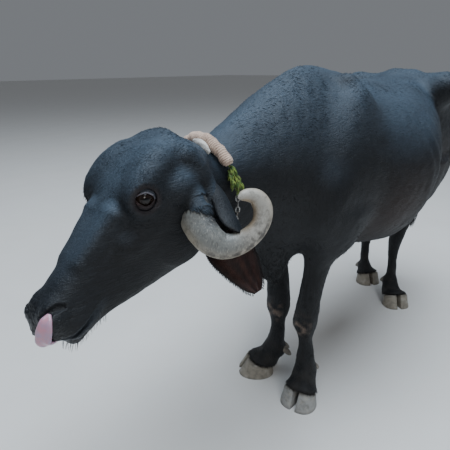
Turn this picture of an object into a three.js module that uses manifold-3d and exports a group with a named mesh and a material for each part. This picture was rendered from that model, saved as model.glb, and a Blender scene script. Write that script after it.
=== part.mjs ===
// A water buffalo cow of a heavy breed with drooping, curled horns, standing still, life size.
// Millimetres. While it is built, +X runs forward along the back, +Y is the animal's left, +Z is up
// and the floor is z = 0. At the end it is moved so that the middle of its footprint is the origin.
// The body is one smooth field of blended forms, negative inside. Each sub-part is a net laid on that
// field and cut by flat planes that its neighbour shares, with a hair's gap between the two.
import * as THREE from "three";
import { mergeVertices } from "three/addons/utils/BufferGeometryUtils.js";
import Module from "manifold-3d";

const wasm = await Module();
wasm.setup();

// Driving dimensions
const withersHeight = 1400;
const withersX = 447;
const gap = 0.3;
const eyeRadius = 21;
const clawGap = 7;
const tailTop = [-862, -50, 1232];
const switchTop = 640;
const switchTip = 335;

// Where the head is and how it is held: its own frame has x to the muzzle, y left, z up out of the brow
const headOrigin = [1143, 25, 1229];
const headYaw = 3.9;
const headPitch = 32.4;
const headRoll = 1.2;

// Small helpers
const v3 = (x, y, z) => new THREE.Vector3(x, y, z);
const degrees = (angle) => (angle * Math.PI) / 180;
const clamp = (value, low, high) => Math.min(high, Math.max(low, value));
const mix = (a, b, t) => a + (b - a) * t;

function seeded(seed) {
  let state = seed;
  return () => {
    state = (state * 1664525 + 1013904223) % 4294967296;
    return state / 4294967296;
  };
}

const headMatrix = new THREE.Matrix4()
  .makeTranslation(...headOrigin)
  .multiply(new THREE.Matrix4().makeRotationZ(degrees(headYaw)))
  .multiply(new THREE.Matrix4().makeRotationY(degrees(headPitch)))
  .multiply(new THREE.Matrix4().makeRotationX(degrees(headRoll)));
const headInverse = headMatrix.clone().invert();
const identity = new THREE.Matrix4();

// A smooth curve through rows of numbers: the first number of a row is the station
function curveOf(rows) {
  const slope = rows.map((row, i) => {
    const before = rows[Math.max(i - 1, 0)];
    const after = rows[Math.min(i + 1, rows.length - 1)];
    return row.map((value, k) => (after[k] - before[k]) / (after[0] - before[0]));
  });
  return (station) => {
    const s = clamp(station, rows[0][0], rows[rows.length - 1][0]);
    let i = 0;
    while (i < rows.length - 2 && rows[i + 1][0] < s) i += 1;
    const span = rows[i + 1][0] - rows[i][0];
    const t = (s - rows[i][0]) / span;
    const t2 = t * t;
    const t3 = t2 * t;
    return rows[i].map((value, k) =>
      value * (2 * t3 - 3 * t2 + 1) + rows[i + 1][k] * (3 * t2 - 2 * t3)
      + span * (slope[i][k] * (t3 - 2 * t2 + t) + slope[i + 1][k] * (t3 - t2)));
  };
}

// Fields: each takes a place and gives roughly the distance to its surface, negative inside
const roundness = (u, v, power) => (Math.abs(u) ** power + Math.abs(v) ** power) ** (1 / power);

function sectionDistance(u, v, halfU, halfV, power) {
  const reach = roundness(u / halfU, v / halfV, power);
  const length = Math.hypot(u, v);
  if (reach < 1e-4) return -Math.min(halfU, halfV);
  return length - length / reach;
}

// A form with flat ends: the distance to its side, and how far past its end a place is
const capped = (side, past) => (Math.min(side, past) > 0 ? Math.hypot(side, past) : Math.max(side, past));

// Sections along x. A row holds x, top, bottom, half width, middle y, level of the greatest width
// as a share of the height, and the roundness above and below it
function trunkForm(rows) {
  const at = curveOf(rows);
  const first = rows[0][0];
  const last = rows[rows.length - 1][0];
  return (x, y, z) => {
    const [, top, bottom, half, middle, wide, above, below] = at(x);
    const centre = mix(bottom, top, wide);
    const up = z > centre;
    const side = sectionDistance(y - middle, z - centre, half, up ? top - centre : centre - bottom,
      up ? above : below);
    return capped(side, Math.max(first - x, x - last));
  };
}

// Sections across a limb. path rows hold z, x, y; girth rows hold z, half length, half width, roundness
function limbForm(path, girth, turn) {
  const placeAt = curveOf(path);
  const girthAt = curveOf(girth);
  const low = girth[0][0];
  const high = girth[girth.length - 1][0];
  const turnAt = curveOf(turn);
  return (x, y, z) => {
    const [, cx, cy] = placeAt(z);
    const [, long, wide, power] = girthAt(z);
    const angle = degrees(turnAt(z)[1]);
    const dx = x - cx;
    const dy = y - cy;
    const u = dx * Math.cos(angle) + dy * Math.sin(angle);
    const v = dy * Math.cos(angle) - dx * Math.sin(angle);
    const side = sectionDistance(u, v, long, wide, power);
    return capped(side, Math.max(low - z, z - high));
  };
}

function ball(centre, radii, yaw = 0, pitch = 0) {
  const turn = new THREE.Matrix4().makeRotationZ(degrees(yaw))
    .multiply(new THREE.Matrix4().makeRotationY(degrees(pitch)));
  const back = turn.transpose().elements;
  return (x, y, z) => {
    const dx = x - centre[0];
    const dy = y - centre[1];
    const dz = z - centre[2];
    const p = (back[0] * dx + back[4] * dy + back[8] * dz) / radii[0];
    const q = (back[1] * dx + back[5] * dy + back[9] * dz) / radii[1];
    const r = (back[2] * dx + back[6] * dy + back[10] * dz) / radii[2];
    const near = Math.hypot(p, q, r);
    if (near < 1e-4) return -Math.min(...radii);
    const far = Math.hypot(p / radii[0], q / radii[1], r / radii[2]);
    return (near * (near - 1)) / far;
  };
}

function cord(from, to, radiusFrom, radiusTo) {
  const along = v3(to[0] - from[0], to[1] - from[1], to[2] - from[2]);
  const square = along.lengthSq();
  return (x, y, z) => {
    const dx = x - from[0];
    const dy = y - from[1];
    const dz = z - from[2];
    const t = clamp((dx * along.x + dy * along.y + dz * along.z) / square, 0, 1);
    const distance = Math.hypot(dx - along.x * t, dy - along.y * t, dz - along.z * t);
    return distance - mix(radiusFrom, radiusTo, t);
  };
}

function smoothMin(a, b, width) {
  const overlap = Math.max(width - Math.abs(a - b), 0) / width;
  return Math.min(a, b) - (overlap * overlap * width) / 4;
}

const smoothMax = (a, b, width) => -smoothMin(-a, -b, width);

// Adds forms [field, width] to a base, or takes them away where the width is negative
function blended(base, forms) {
  return (x, y, z) => {
    let value = base(x, y, z);
    for (const [form, width] of forms) {
      const other = form(x, y, z);
      value = width > 0 ? smoothMin(value, other, width) : smoothMax(value, -other, -width);
    }
    return value;
  };
}

// Trunk and neck
const trunkRows = [
  [-900, 1120, 1040, 40, -62, 0.5, 2, 2],
  [-860, 1215, 900, 110, -60, 0.6, 2, 2],
  [-780, 1275, 800, 165, -55, 0.6, 1.9, 2],
  [-650, 1318, 755, 200, -45, 0.6, 2.1, 2],
  [-520, 1332, 725, 222, -36, 0.58, 2.3, 2],
  [-420, 1334, 690, 244, -30, 0.56, 2.4, 2],
  [-300, 1330, 650, 274, -18, 0.55, 2.15, 2],
  [-200, 1328, 614, 305, -6, 0.55, 2, 2],
  [-100, 1327, 584, 336, 0, 0.56, 1.9, 2],
  [0, 1328, 566, 364, 4, 0.56, 1.8, 2],
  [100, 1332, 588, 358, 4, 0.54, 1.75, 2],
  [200, 1341, 612, 338, 2, 0.52, 1.65, 2],
  [300, 1366, 638, 308, 2, 0.5, 1.55, 1.9],
  [380, 1391, 656, 285, 0, 0.48, 1.45, 1.8],
  [withersX, withersHeight, 664, 265, 0, 0.46, 1.4, 1.8],
  [520, 1390, 660, 246, 0, 0.46, 1.45, 1.7],
  [600, 1358, 652, 222, 0, 0.46, 1.6, 1.6],
  [700, 1312, 700, 188, 2, 0.48, 1.75, 1.7],
  [800, 1258, 790, 155, 5, 0.5, 1.85, 1.8],
  [900, 1208, 850, 132, 10, 0.52, 1.9, 1.9],
  [1000, 1162, 885, 114, 15, 0.55, 1.9, 1.9],
  [1080, 1122, 910, 95, 19, 0.56, 2, 2],
  [1150, 1090, 965, 75, 23, 0.58, 2, 2],
];

// Legs. Each path runs from the coronet up into the body; girths are shared by the pair
const foreGirth = [
  [-100, 70, 66, 2.4], [50, 66, 62, 2.4], [85, 58, 57, 2.3], [140, 50, 47, 2.1], [185, 42, 41, 2],
  [235, 35, 33, 2.1], [275, 33, 30, 2.2], [305, 38, 36, 2.2], [350, 50, 50, 2.5], [400, 52, 51, 2.3],
  [460, 54, 48, 2], [540, 56, 47, 2], [600, 60, 50, 2], [660, 70, 56, 2], [730, 90, 64, 2], [800, 112, 64, 2],
  [850, 120, 54, 2],
];
const hindGirth = [
  [-100, 64, 62, 2.4], [50, 62, 60, 2.4], [95, 50, 47, 2.2], [150, 33, 31, 2], [220, 30, 27, 2.1],
  [265, 32, 28, 2.1], [327, 42, 34, 2.1], [375, 54, 40, 2.2], [410, 60, 41, 2.1], [480, 56, 42, 2],
  [560, 64, 48, 2],
  [650, 86, 58, 2], [740, 122, 70, 2], [830, 152, 80, 2], [900, 160, 84, 2],
];
const legs = {
  left_fore: {
    path: [[0, 590, 140], [75, 560, 134], [120, 536, 126], [170, 524, 120], [240, 516, 114], [350, 512, 100],
      [430, 506, 105], [540, 497, 116], [640, 484, 128], [720, 468, 156], [850, 436, 196]],
    girth: foreGirth,
    turn: [[0, 10], [350, 10], [800, 0]],
    toe: [648, 150],
    heading: 10,
    clawLength: 130,
    clawWidth: 71,
  },
  right_fore: {
    path: [[0, 540, -140], [70, 520, -112], [120, 500, -88], [170, 494, -72], [240, 491, -60],
      [350, 490, -62], [430, 488, -66], [540, 482, -84], [640, 474, -122], [720, 464, -158],
      [850, 436, -196]],
    girth: foreGirth,
    turn: [[0, -46], [200, -40], [350, -20], [800, 0]],
    toe: [604, -200],
    heading: -46,
    clawLength: 166,
    clawWidth: 72,
  },
  left_hind: {
    path: [[0, -492, 86], [55, -530, 34], [100, -560, 4], [150, -584, -10], [220, -598, -18],
      [300, -606, -26], [375, -616, -24], [450, -630, -10], [540, -622, 24], [640, -588, 66],
      [760, -522, 108], [900, -490, 135]],
    girth: hindGirth,
    turn: [[0, 50], [200, 46], [450, 30], [650, 12], [900, 0]],
    toe: [-466, 118],
    heading: 50,
    clawLength: 120,
    clawWidth: 70,
  },
  right_hind: {
    path: [[0, -648, -182], [55, -656, -202], [100, -660, -220], [150, -658, -230], [220, -658, -236],
      [300, -664, -238], [375, -674, -236], [450, -688, -228], [540, -676, -214], [640, -628, -198],
      [760, -545, -186], [900, -495, -180]],
    girth: hindGirth,
    turn: [[0, 58], [200, 50], [450, 26], [650, 8], [900, 0]],
    toe: [-636, -147],
    heading: 58,
    clawLength: 120,
    clawWidth: 70,
  },
};

// Forms that ride on the trunk: shoulder, haunch, hips and hollows, given for the left side
const hipsY = -32;
const flanks = [1, -1].flatMap((side) => [
  [ball([420, side * 172, 1010], [120, 82, 290], 0, -12), 90],
  [ball([520, side * 160, 880], [120, 80, 150], side * 20, 20), 80],
  [ball([405, side * 196, 815], [105, 48, 80], 0, 30), 60],
  [cord([360, side * 120, 1330], [330, side * 200, 1130], 26, 34), 60],
  [ball([-600, hipsY + side * 134, 960], [215, 88, 255], side * -4, 14), 90],
  [ball([-455, hipsY + side * 170, 850], [95, 56, 160], 0, 26), 70],
  [cord([-440, hipsY + side * 60, 1296], [-402, hipsY + side * 222, 1278], 40, 44), 90],
  [cord([-402, hipsY + side * 222, 1278], [-800, hipsY - 10 + side * 100, 1180], 42, 46), 110],
  [ball([-398, hipsY + side * 234, 1272], [56, 38, 46], 0, 20), 60],
  [ball([-455, hipsY + side * 40, 1296], [74, 46, 44], 0, 10), 60],
  [ball([-830, hipsY - 12 + side * 100, 1165], [66, 56, 66], 0, 0), 80],
  [cord([-700, hipsY + side * 118, 900], [-690, hipsY + side * 95, 700], 78, 52), 80],
]);
const trunk = blended(trunkForm(trunkRows), [
  ...flanks,
  [cord([650, 2, 690], [613, 8, 576], 62, 28), 70],
  [cord([700, 0, 800], [645, 0, 640], 70, 40), 80],
  [cord([-850, -46, 1240], tailTop, 44, 38), 60],
]);

// The point of the hock stands out behind the joint
function hockOf(leg) {
  const at = curveOf(leg.path);
  const [, x, y] = at(450);
  const [, upperX, upperY] = at(620);
  const angle = degrees(curveOf(leg.turn)(440)[1]);
  const back = [x - 52 * Math.cos(angle), y - 52 * Math.sin(angle), 455];
  return cord(back, [upperX - 66 * Math.cos(angle), upperY - 66 * Math.sin(angle), 640], 19, 28);
}

// A swelling behind a leg, such as the back of the fetlock or the bulb of the heel
function behind(leg, height, back, radii) {
  const [, x, y] = curveOf(leg.path)(height);
  const angle = degrees(leg.heading);
  return ball([x - back * Math.cos(angle), y - back * Math.sin(angle), height], radii, leg.heading);
}

function legField(name) {
  const leg = legs[name];
  const own = limbForm(leg.path, leg.girth, leg.turn);
  const fore = name.endsWith("fore");
  const heels = fore ? [[behind(leg, 128, 26, [42, 44, 48]), 20], [behind(leg, 74, 32, [32, 42, 34]), 20]]
    : [[behind(leg, 112, 20, [34, 38, 40]), 20], [behind(leg, 66, 26, [28, 38, 30]), 20]];
  return blended(own, fore ? heels : [...heels, [hockOf(leg), 34]]);
}

const legFields = Object.fromEntries(Object.keys(legs).map((name) => [name, legField(name)]));
const legBlend = 70;

// Head, in its own frame. Rows as for the trunk
const headRows = [
  [-70, -130, -180, 30, 0, 0.5, 2, 2],
  [-30, -64, -215, 74, 0, 0.55, 2.2, 2.1],
  [20, -14, -256, 110, 0, 0.6, 2.4, 2.2],
  [80, 4, -302, 120, 0, 0.62, 2.5, 2.3],
  [140, 10, -334, 116, 0, 0.64, 2.6, 2.4],
  [200, 4, -338, 106, 0, 0.66, 2.6, 2.5],
  [260, -12, -325, 90, 0, 0.66, 2.3, 2.6],
  [320, -30, -306, 78, 0, 0.64, 2.3, 2.6],
  [400, -48, -276, 66, 0, 0.6, 2.3, 2.5],
  [470, -62, -246, 61, 0, 0.56, 2.3, 2.4],
  [530, -78, -222, 60, 0, 0.54, 2.3, 2.3],
  [572, -98, -196, 54, 0, 0.52, 2.3, 2.2],
  [600, -122, -170, 38, 0, 0.5, 2.2, 2.1],
  [610, -136, -160, 20, 0, 0.5, 2, 2],
];
const eyeCentre = [214, 97, -39];
function orbit(side) {
  const outside = [eyeCentre[0] + 13, side * (eyeCentre[1] + 34), eyeCentre[2] + 4];
  return ball(outside, [25, 40, 34], side * 72);
}
// The crown's back edge, which runs down on each side into the root of the ear
const rimLine = [[50, 50, -42, 36], [42, 80, -58, 37], [44, 94, -100, 35], [60, 110, -150, 33], [86, 135, -200, 28]];
function crownRim(side) {
  const points = rimLine.map(([x, y, z, radius]) => [[x, side * y, z], radius]);
  const cords = points.slice(1).map(([to, radiusTo], i) => cord(points[i][0], to, points[i][1], radiusTo));
  return (x, y, z) => Math.min(...cords.map((form) => form(x, y, z)));
}

const headForms = [1, -1].flatMap((side) => [
  [crownRim(side), 30],
  [ball([150, side * 74, -205], [120, 36, 100], side * 6, 14), 60],
  [cord([150, side * 90, -96], [305, side * 72, -124], 30, 20), 50],
  [ball([180, side * 86, -18], [88, 33, 38], side * 12, 14), 56],
  [cord([290, side * 40, -44], [420, side * 30, -74], 22, 14), 30],
  [ball([136, side * 100, -112], [66, 44, 52], side * -10, 20), 36],
  [ball([548, side * 36, -112], [38, 26, 30], side * 20, 20), 26],
  [ball([500, side * 42, -172], [60, 24, 34], side * 8, 10), 28],
]);
const headField = blended(trunkForm(headRows), [
  ...headForms,
  [ball([125, 0, -23], [125, 100, 38], 0, 8), 40],
  [cord([548, 12, -214], [480, 0, -222], 26, 24), 30],
  [orbit(1), -16],
  [orbit(-1), -16],
]);

const place = v3(0, 0, 0);
function headInWorld(x, y, z) {
  place.set(x, y, z).applyMatrix4(headInverse);
  return headField(place.x, place.y, place.z);
}
const neckBlend = 35;
const body = (x, y, z) => smoothMin(trunk(x, y, z), headInWorld(x, y, z), neckBlend);

// A net laid on a field inside a box, in a frame given by a matrix. Every cell that the surface
// crosses gets one point, moved onto the surface, and neighbouring points are joined by quads
function netOf(field, low, high, cell, matrix = identity) {
  const count = low.map((from, k) => Math.ceil((high[k] - from) / cell[k]) + 1);
  const at = v3(0, 0, 0);
  const value = (x, y, z) => {
    const box = Math.max(low[0] + cell[0] - x, x - high[0] + cell[0], low[1] + cell[1] - y,
      y - high[1] + cell[1], low[2] + cell[2] - z, z - high[2] + cell[2]);
    at.set(x, y, z).applyMatrix4(matrix);
    return Math.max(field(at.x, at.y, at.z), box);
  };
  const index = (i, j, k) => (k * count[1] + j) * count[0] + i;
  const samples = new Float64Array(count[0] * count[1] * count[2]);
  for (let k = 0; k < count[2]; k += 1) {
    for (let j = 0; j < count[1]; j += 1) {
      for (let i = 0; i < count[0]; i += 1) {
        samples[index(i, j, k)] = value(low[0] + i * cell[0], low[1] + j * cell[1], low[2] + k * cell[2]);
      }
    }
  }
  const corners = [0, 1, 2, 3, 4, 5, 6, 7].map((n) => [n & 1, (n >> 1) & 1, n >> 2]);
  const edges = [];
  for (let a = 0; a < 8; a += 1) {
    for (const bit of [1, 2, 4]) if (!(a & bit)) edges.push([a, a | bit]);
  }
  const points = [];
  const pointOf = new Map();
  for (let k = 0; k < count[2] - 1; k += 1) {
    for (let j = 0; j < count[1] - 1; j += 1) {
      for (let i = 0; i < count[0] - 1; i += 1) {
        const sum = [0, 0, 0];
        let crossings = 0;
        for (const [a, b] of edges) {
          const va = samples[index(i + corners[a][0], j + corners[a][1], k + corners[a][2])];
          const vb = samples[index(i + corners[b][0], j + corners[b][1], k + corners[b][2])];
          if (va < 0 === vb < 0) continue;
          const t = va / (va - vb);
          for (let axis = 0; axis < 3; axis += 1) sum[axis] += mix(corners[a][axis], corners[b][axis], t);
          crossings += 1;
        }
        if (crossings === 0) continue;
        const p = [i, j, k].map((n, axis) => low[axis] + (n + sum[axis] / crossings) * cell[axis]);
        pointOf.set(index(i, j, k), points.length);
        points.push(settled(p, value, Math.min(...cell)));
      }
    }
  }
  const faces = [];
  const quad = (a, b, c, d, flip) => {
    const ring = flip ? [a, d, c, b] : [a, b, c, d];
    const [p, q, r, s] = ring.map((n) => points[n]);
    const shortWay = p.distanceToSquared(r) < q.distanceToSquared(s);
    if (shortWay) faces.push(ring[0], ring[1], ring[2], ring[0], ring[2], ring[3]);
    else faces.push(ring[0], ring[1], ring[3], ring[1], ring[2], ring[3]);
  };
  for (let k = 1; k < count[2] - 1; k += 1) {
    for (let j = 1; j < count[1] - 1; j += 1) {
      for (let i = 1; i < count[0] - 1; i += 1) {
        const inside = samples[index(i, j, k)] < 0;
        const around = (di, dj, dk) => pointOf.get(index(i - di, j - dj, k - dk));
        if (inside !== samples[index(i + 1, j, k)] < 0) {
          quad(around(0, 1, 1), around(0, 0, 1), around(0, 0, 0), around(0, 1, 0), !inside);
        }
        if (inside !== samples[index(i, j + 1, k)] < 0) {
          quad(around(1, 0, 1), around(1, 0, 0), around(0, 0, 0), around(0, 0, 1), !inside);
        }
        if (inside !== samples[index(i, j, k + 1)] < 0) {
          quad(around(1, 1, 0), around(0, 1, 0), around(0, 0, 0), around(1, 0, 0), !inside);
        }
      }
    }
  }
  return meshOf(points.map((p) => p.applyMatrix4(matrix)), faces);
}

// Moves a point along the slope of a field until it lies on the surface
function settled(start, value, reach) {
  const p = v3(...start);
  const step = 0.5;
  for (let round = 0; round < 4; round += 1) {
    const here = value(p.x, p.y, p.z);
    const slope = v3(
      value(p.x + step, p.y, p.z) - value(p.x - step, p.y, p.z),
      value(p.x, p.y + step, p.z) - value(p.x, p.y - step, p.z),
      value(p.x, p.y, p.z + step) - value(p.x, p.y, p.z - step),
    ).divideScalar(2 * step);
    const move = clamp(-here / Math.max(slope.lengthSq(), 0.05), -reach * 0.4, reach * 0.4);
    p.addScaledVector(slope, move);
  }
  return p;
}

// Solids: geometry to manifold and back
function meshOf(points, faces) {
  const geometry = new THREE.BufferGeometry();
  const places = points.flatMap((p) => [p.x, p.y, p.z]);
  geometry.setAttribute("position", new THREE.Float32BufferAttribute(places, 3));
  geometry.setIndex(faces);
  return geometry;
}

function solidOf(geometry) {
  const plain = new THREE.BufferGeometry();
  plain.setAttribute("position", geometry.getAttribute("position").clone());
  plain.setIndex(geometry.getIndex());
  const merged = mergeVertices(plain, 1e-3);
  return new wasm.Manifold(new wasm.Mesh({
    numProp: 3,
    vertProperties: new Float32Array(merged.getAttribute("position").array),
    triVerts: new Uint32Array(merged.getIndex().array),
  }));
}

function geometryOf(solid) {
  const mesh = solid.getMesh();
  const geometry = new THREE.BufferGeometry();
  geometry.setAttribute("position", new THREE.BufferAttribute(new Float32Array(mesh.vertProperties), 3));
  const same = new Map(Array.from(mesh.mergeFromVert ?? [], (from, i) => [from, mesh.mergeToVert[i]]));
  geometry.setIndex(Array.from(mesh.triVerts, (corner) => same.get(corner) ?? corner));
  return geometry;
}

// Joins the ends of edges too short to matter and drops the faces that this flattens
function welded(geometry, shortest = 0.05) {
  const position = geometry.getAttribute("position");
  const faces = Array.from(geometry.getIndex().array);
  const root = Array.from({ length: position.count }, (_, i) => i);
  const find = (i) => {
    while (root[i] !== i) i = root[i];
    return i;
  };
  const at = (i) => v3().fromBufferAttribute(position, i);
  for (let i = 0; i < faces.length; i += 3) {
    for (const [a, b] of [[0, 1], [1, 2], [2, 0]].map((pair) => pair.map((n) => find(faces[i + n])))) {
      if (a !== b && at(a).distanceTo(at(b)) < shortest) root[Math.max(a, b)] = Math.min(a, b);
    }
  }
  const kept = new Map();
  for (let i = 0; i < faces.length; i += 3) {
    const ring = [find(faces[i]), find(faces[i + 1]), find(faces[i + 2])];
    if (new Set(ring).size < 3) continue;
    const key = [...ring].sort((a, b) => a - b).join();
    if (kept.has(key)) kept.delete(key);
    else kept.set(key, ring);
  }
  geometry.setIndex([...kept.values()].flat());
  return unpinched(geometry);
}

// Where two corners of the skin touch in one place, each is drawn in by a hair so that they part
function unpinched(geometry) {
  const hair = 0.02;
  geometry.computeVertexNormals();
  const position = geometry.getAttribute("position");
  const normal = geometry.getAttribute("normal");
  const met = new Map();
  for (const i of new Set(geometry.getIndex().array)) {
    const corner = [position.getX(i), position.getY(i), position.getZ(i)];
    const key = corner.map((value) => Math.round(value / hair)).join();
    met.set(key, [...(met.get(key) ?? []), i]);
  }
  for (const corners of [...met.values()].filter((list) => list.length > 1)) {
    for (const i of corners) {
      position.setXYZ(i, position.getX(i) - normal.getX(i) * hair, position.getY(i) - normal.getY(i) * hair,
        position.getZ(i) - normal.getZ(i) * hair);
    }
  }
  return geometry;
}

function largest(solid) {
  return solid.decompose().reduce((a, b) => (Math.abs(b.volume()) > Math.abs(a.volume()) ? b : a));
}

// A solid whose points are moved outwards by a distance, used as a cutter that leaves a gap
function grown(solid, distance) {
  const geometry = geometryOf(solid);
  geometry.computeVertexNormals();
  const position = geometry.getAttribute("position");
  const normal = geometry.getAttribute("normal");
  for (let i = 0; i < position.count; i += 1) {
    position.setXYZ(i, position.getX(i) + normal.getX(i) * distance,
      position.getY(i) + normal.getY(i) * distance, position.getZ(i) + normal.getZ(i) * distance);
  }
  return solidOf(geometry);
}

// A block so large that only one of its faces matters: the side of a plane that its normal leaves
function behindPlane(point, normal, shift = 0) {
  const size = 6000;
  const block = new THREE.BoxGeometry(size, size, size);
  block.translate(0, 0, -size / 2);
  const n = v3(...normal).normalize();
  block.applyQuaternion(new THREE.Quaternion().setFromUnitVectors(v3(0, 0, 1), n));
  block.translate(point[0] + n.x * shift, point[1] + n.y * shift, point[2] + n.z * shift);
  return solidOf(block);
}

const blockOf = (planes, shift) => planes
  .map(([point, normal]) => behindPlane(point, normal, shift))
  .reduce((a, b) => a.intersect(b));

// The planes that part neck from torso and head from neck, and the blocks that hold each leg's top
const neckPlane = [[760, 0, 1000], [0.9925, 0, 0.1219]];
const headPlanePoint = v3(2, 0, -100).applyMatrix4(headMatrix).toArray();
const headPlaneNormal = v3(-1, 0, 0.12).transformDirection(headMatrix).toArray();
const forePlanes = (side) => [
  [[450, side * 95, 650], [0, side * -0.788, 0.616]],
  [[450, side * 75, 640], [0, side * -0.905, 0.425]],
  [[312, side * 150, 760], [-1, 0, 0]],
  [[620, side * 150, 700], [0.95, 0, 0.312]],
];
const hindPlanes = (side) => [
  [[-600, hipsY + side * 62, 660], [0, side * -0.894, 0.447]],
  [[-376, hipsY + side * 150, 800], [0.95, 0, 0.312]],
];
const legPlanes = {
  left_fore: forePlanes(1),
  right_fore: forePlanes(-1),
  left_hind: hindPlanes(1),
  right_hind: hindPlanes(-1),
};

// Where the bottom of a leg rests on its claws: a plane that rises towards the toe
const coronetHeel = 46;
const coronetToe = 92;
function coronetOf(leg) {
  const ahead = v3(Math.cos(degrees(leg.heading)), Math.sin(degrees(leg.heading)), 0);
  const rise = (coronetToe - coronetHeel) / leg.clawLength;
  const heel = v3(leg.toe[0], leg.toe[1], coronetHeel).addScaledVector(ahead, -leg.clawLength);
  const normal = v3(-ahead.x * rise, -ahead.y * rise, 1).normalize();
  return { ahead, rise, heel, normal };
}

const nodes = {};

function makeTorso() {
  const everything = (x, y, z) => {
    let value = body(x, y, z);
    for (const field of Object.values(legFields)) value = smoothMin(value, field(x, y, z), legBlend);
    return value;
  };
  const net = solidOf(netOf(everything, [-1010, -560, 380], [900, 560, 1500], [72, 64, 62]));
  let torso = net.intersect(behindPlane(...neckPlane, -gap / 2));
  for (const planes of Object.values(legPlanes)) torso = torso.subtract(blockOf(planes, gap / 2));
  return largest(torso);
}

function makeNeck() {
  const net = solidOf(netOf(body, [600, -330, 560], [1260, 360, 1420], [48, 46, 48]));
  const neck = net.subtract(behindPlane(...neckPlane, gap / 2));
  return largest(neck.intersect(behindPlane(headPlanePoint, headPlaneNormal.map((n) => -n), -gap / 2)));
}

function makeHead() {
  const net = solidOf(netOf(body, [-80, -175, -390], [650, 175, 90], [29, 21, 21], headMatrix));
  let head = net.intersect(behindPlane(headPlanePoint, headPlaneNormal, -gap / 2));
  for (const side of [1, -1]) {
    head = head.add(lidOf(side, 1)).add(lidOf(side, -1));
    head = head.subtract(eyeball(side, eyeRadius + gap)).subtract(nostrilCut(side));
  }
  return largest(head.subtract(mouthCut()).subtract(grown(tongue, 0.6)));
}

function makeLeg(name) {
  const leg = legs[name];
  const own = legFields[name];
  const field = (x, y, z) => smoothMin(trunk(x, y, z), own(x, y, z), legBlend);
  const fore = name.endsWith("fore");
  const side = name.startsWith("left") ? 1 : -1;
  const low = fore ? [280, side > 0 ? -70 : -380, -60] : [-900, side > 0 ? -110 : -420, -60];
  const high = fore ? [770, side > 0 ? 370 : 60, 980] : [-330, side > 0 ? 360 : 10, 1240];
  const net = solidOf(netOf(field, low, high, fore ? [26, 24, 50] : [29, 27, 54]));
  const { heel, normal } = coronetOf(leg);
  const top = net.intersect(blockOf(legPlanes[name], -gap / 2));
  return largest(top.subtract(behindPlane(heel.toArray(), normal.toArray(), gap / 2)));
}

// A claw: rings that follow the outline of its sole, drawn in and back as they rise to the coronet
function makeClaw(leg, hand) {
  const { ahead, rise, heel, normal } = coronetOf(leg);
  const across = v3(-ahead.y, ahead.x, 0).multiplyScalar(hand);
  const sides = 12;
  const levels = 2;
  const points = [];
  for (let level = 0; level <= levels; level += 1) {
    const t = level / levels;
    for (let i = 0; i < sides; i += 1) {
      const turn = (2 * Math.PI * i) / sides;
      const bow = Math.sin(turn);
      const reach = 0.5 - 0.5 * Math.cos(turn);
      const long = leg.clawLength * (reach * mix(1, 0.68, t) + 0.05 * t);
      const outer = bow > 0 ? bow ** 0.8 * leg.clawWidth * mix(1, 0.86, t) : bow * 5;
      const toeIn = reach ** 2 * 6 * (1 - t);
      const aside = clawGap / 2 + 5 + outer - toeIn * 0.5;
      const p = heel.clone().addScaledVector(ahead, long).addScaledVector(across, aside);
      p.z = t * (coronetHeel + rise * long);
      points.push(p);
    }
  }
  const faces = [];
  for (let level = 0; level < levels; level += 1) {
    for (let i = 0; i < sides; i += 1) {
      const a = level * sides + i;
      const b = level * sides + ((i + 1) % sides);
      faces.push(a, b, b + sides, a, b + sides, a + sides);
    }
  }
  for (let i = 1; i < sides - 1; i += 1) {
    faces.push(0, i + 1, i);
    const top = levels * sides;
    faces.push(top, top + i, top + i + 1);
  }
  const solid = solidOf(outward(meshOf(points, faces)));
  return largest(solid.intersect(behindPlane(heel.toArray(), normal.toArray(), -gap / 2)));
}

// A tube along a curve. sectionAt(t) gives half sizes across and up, and both ends are closed
function sweep(curve, steps, sides, sectionAt, up) {
  const points = [];
  for (let i = 0; i <= steps; i += 1) {
    const t = i / steps;
    const centre = curve.getPoint(t);
    const tangent = curve.getTangent(t);
    const across = v3().crossVectors(up(t), tangent).normalize();
    const rise = v3().crossVectors(tangent, across).normalize();
    const [wide, high] = sectionAt(t);
    for (let j = 0; j < sides; j += 1) {
      const angle = (2 * Math.PI * j) / sides;
      points.push(centre.clone().addScaledVector(across, wide * Math.cos(angle))
        .addScaledVector(rise, high * Math.sin(angle)));
    }
  }
  const faces = [];
  for (let i = 0; i < steps; i += 1) {
    for (let j = 0; j < sides; j += 1) {
      const a = i * sides + j;
      const b = i * sides + ((j + 1) % sides);
      faces.push(a, b, b + sides, a, b + sides, a + sides);
    }
  }
  for (let j = 1; j < sides - 1; j += 1) {
    const last = steps * sides;
    faces.push(0, j + 1, j, last, last + j, last + j + 1);
  }
  return meshOf(points, faces);
}

const curveThrough = (points, matrix = identity) =>
  new THREE.CatmullRomCurve3(points.map((p) => v3(...p).applyMatrix4(matrix)), false, "centripetal");

// Eye: a ball in a socket. The slit between the lids runs from the front corner, low, to the back
function eyeFrame(side) {
  const centre = v3(eyeCentre[0], side * eyeCentre[1], eyeCentre[2]);
  const out = v3(0.3, side * 0.92, 0.24).normalize();
  const slit = v3(0.76, 0, 0.65).addScaledVector(out, -v3(0.76, 0, 0.65).dot(out)).normalize();
  const brow = v3().crossVectors(slit, out).multiplyScalar(-side).normalize();
  return { centre, out, slit, brow };
}

function eyeball(side, radius) {
  const ballShape = new THREE.SphereGeometry(radius, 12, 8);
  ballShape.translate(...eyeFrame(side).centre.toArray());
  return solidOf(ballShape.applyMatrix4(headMatrix));
}

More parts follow.
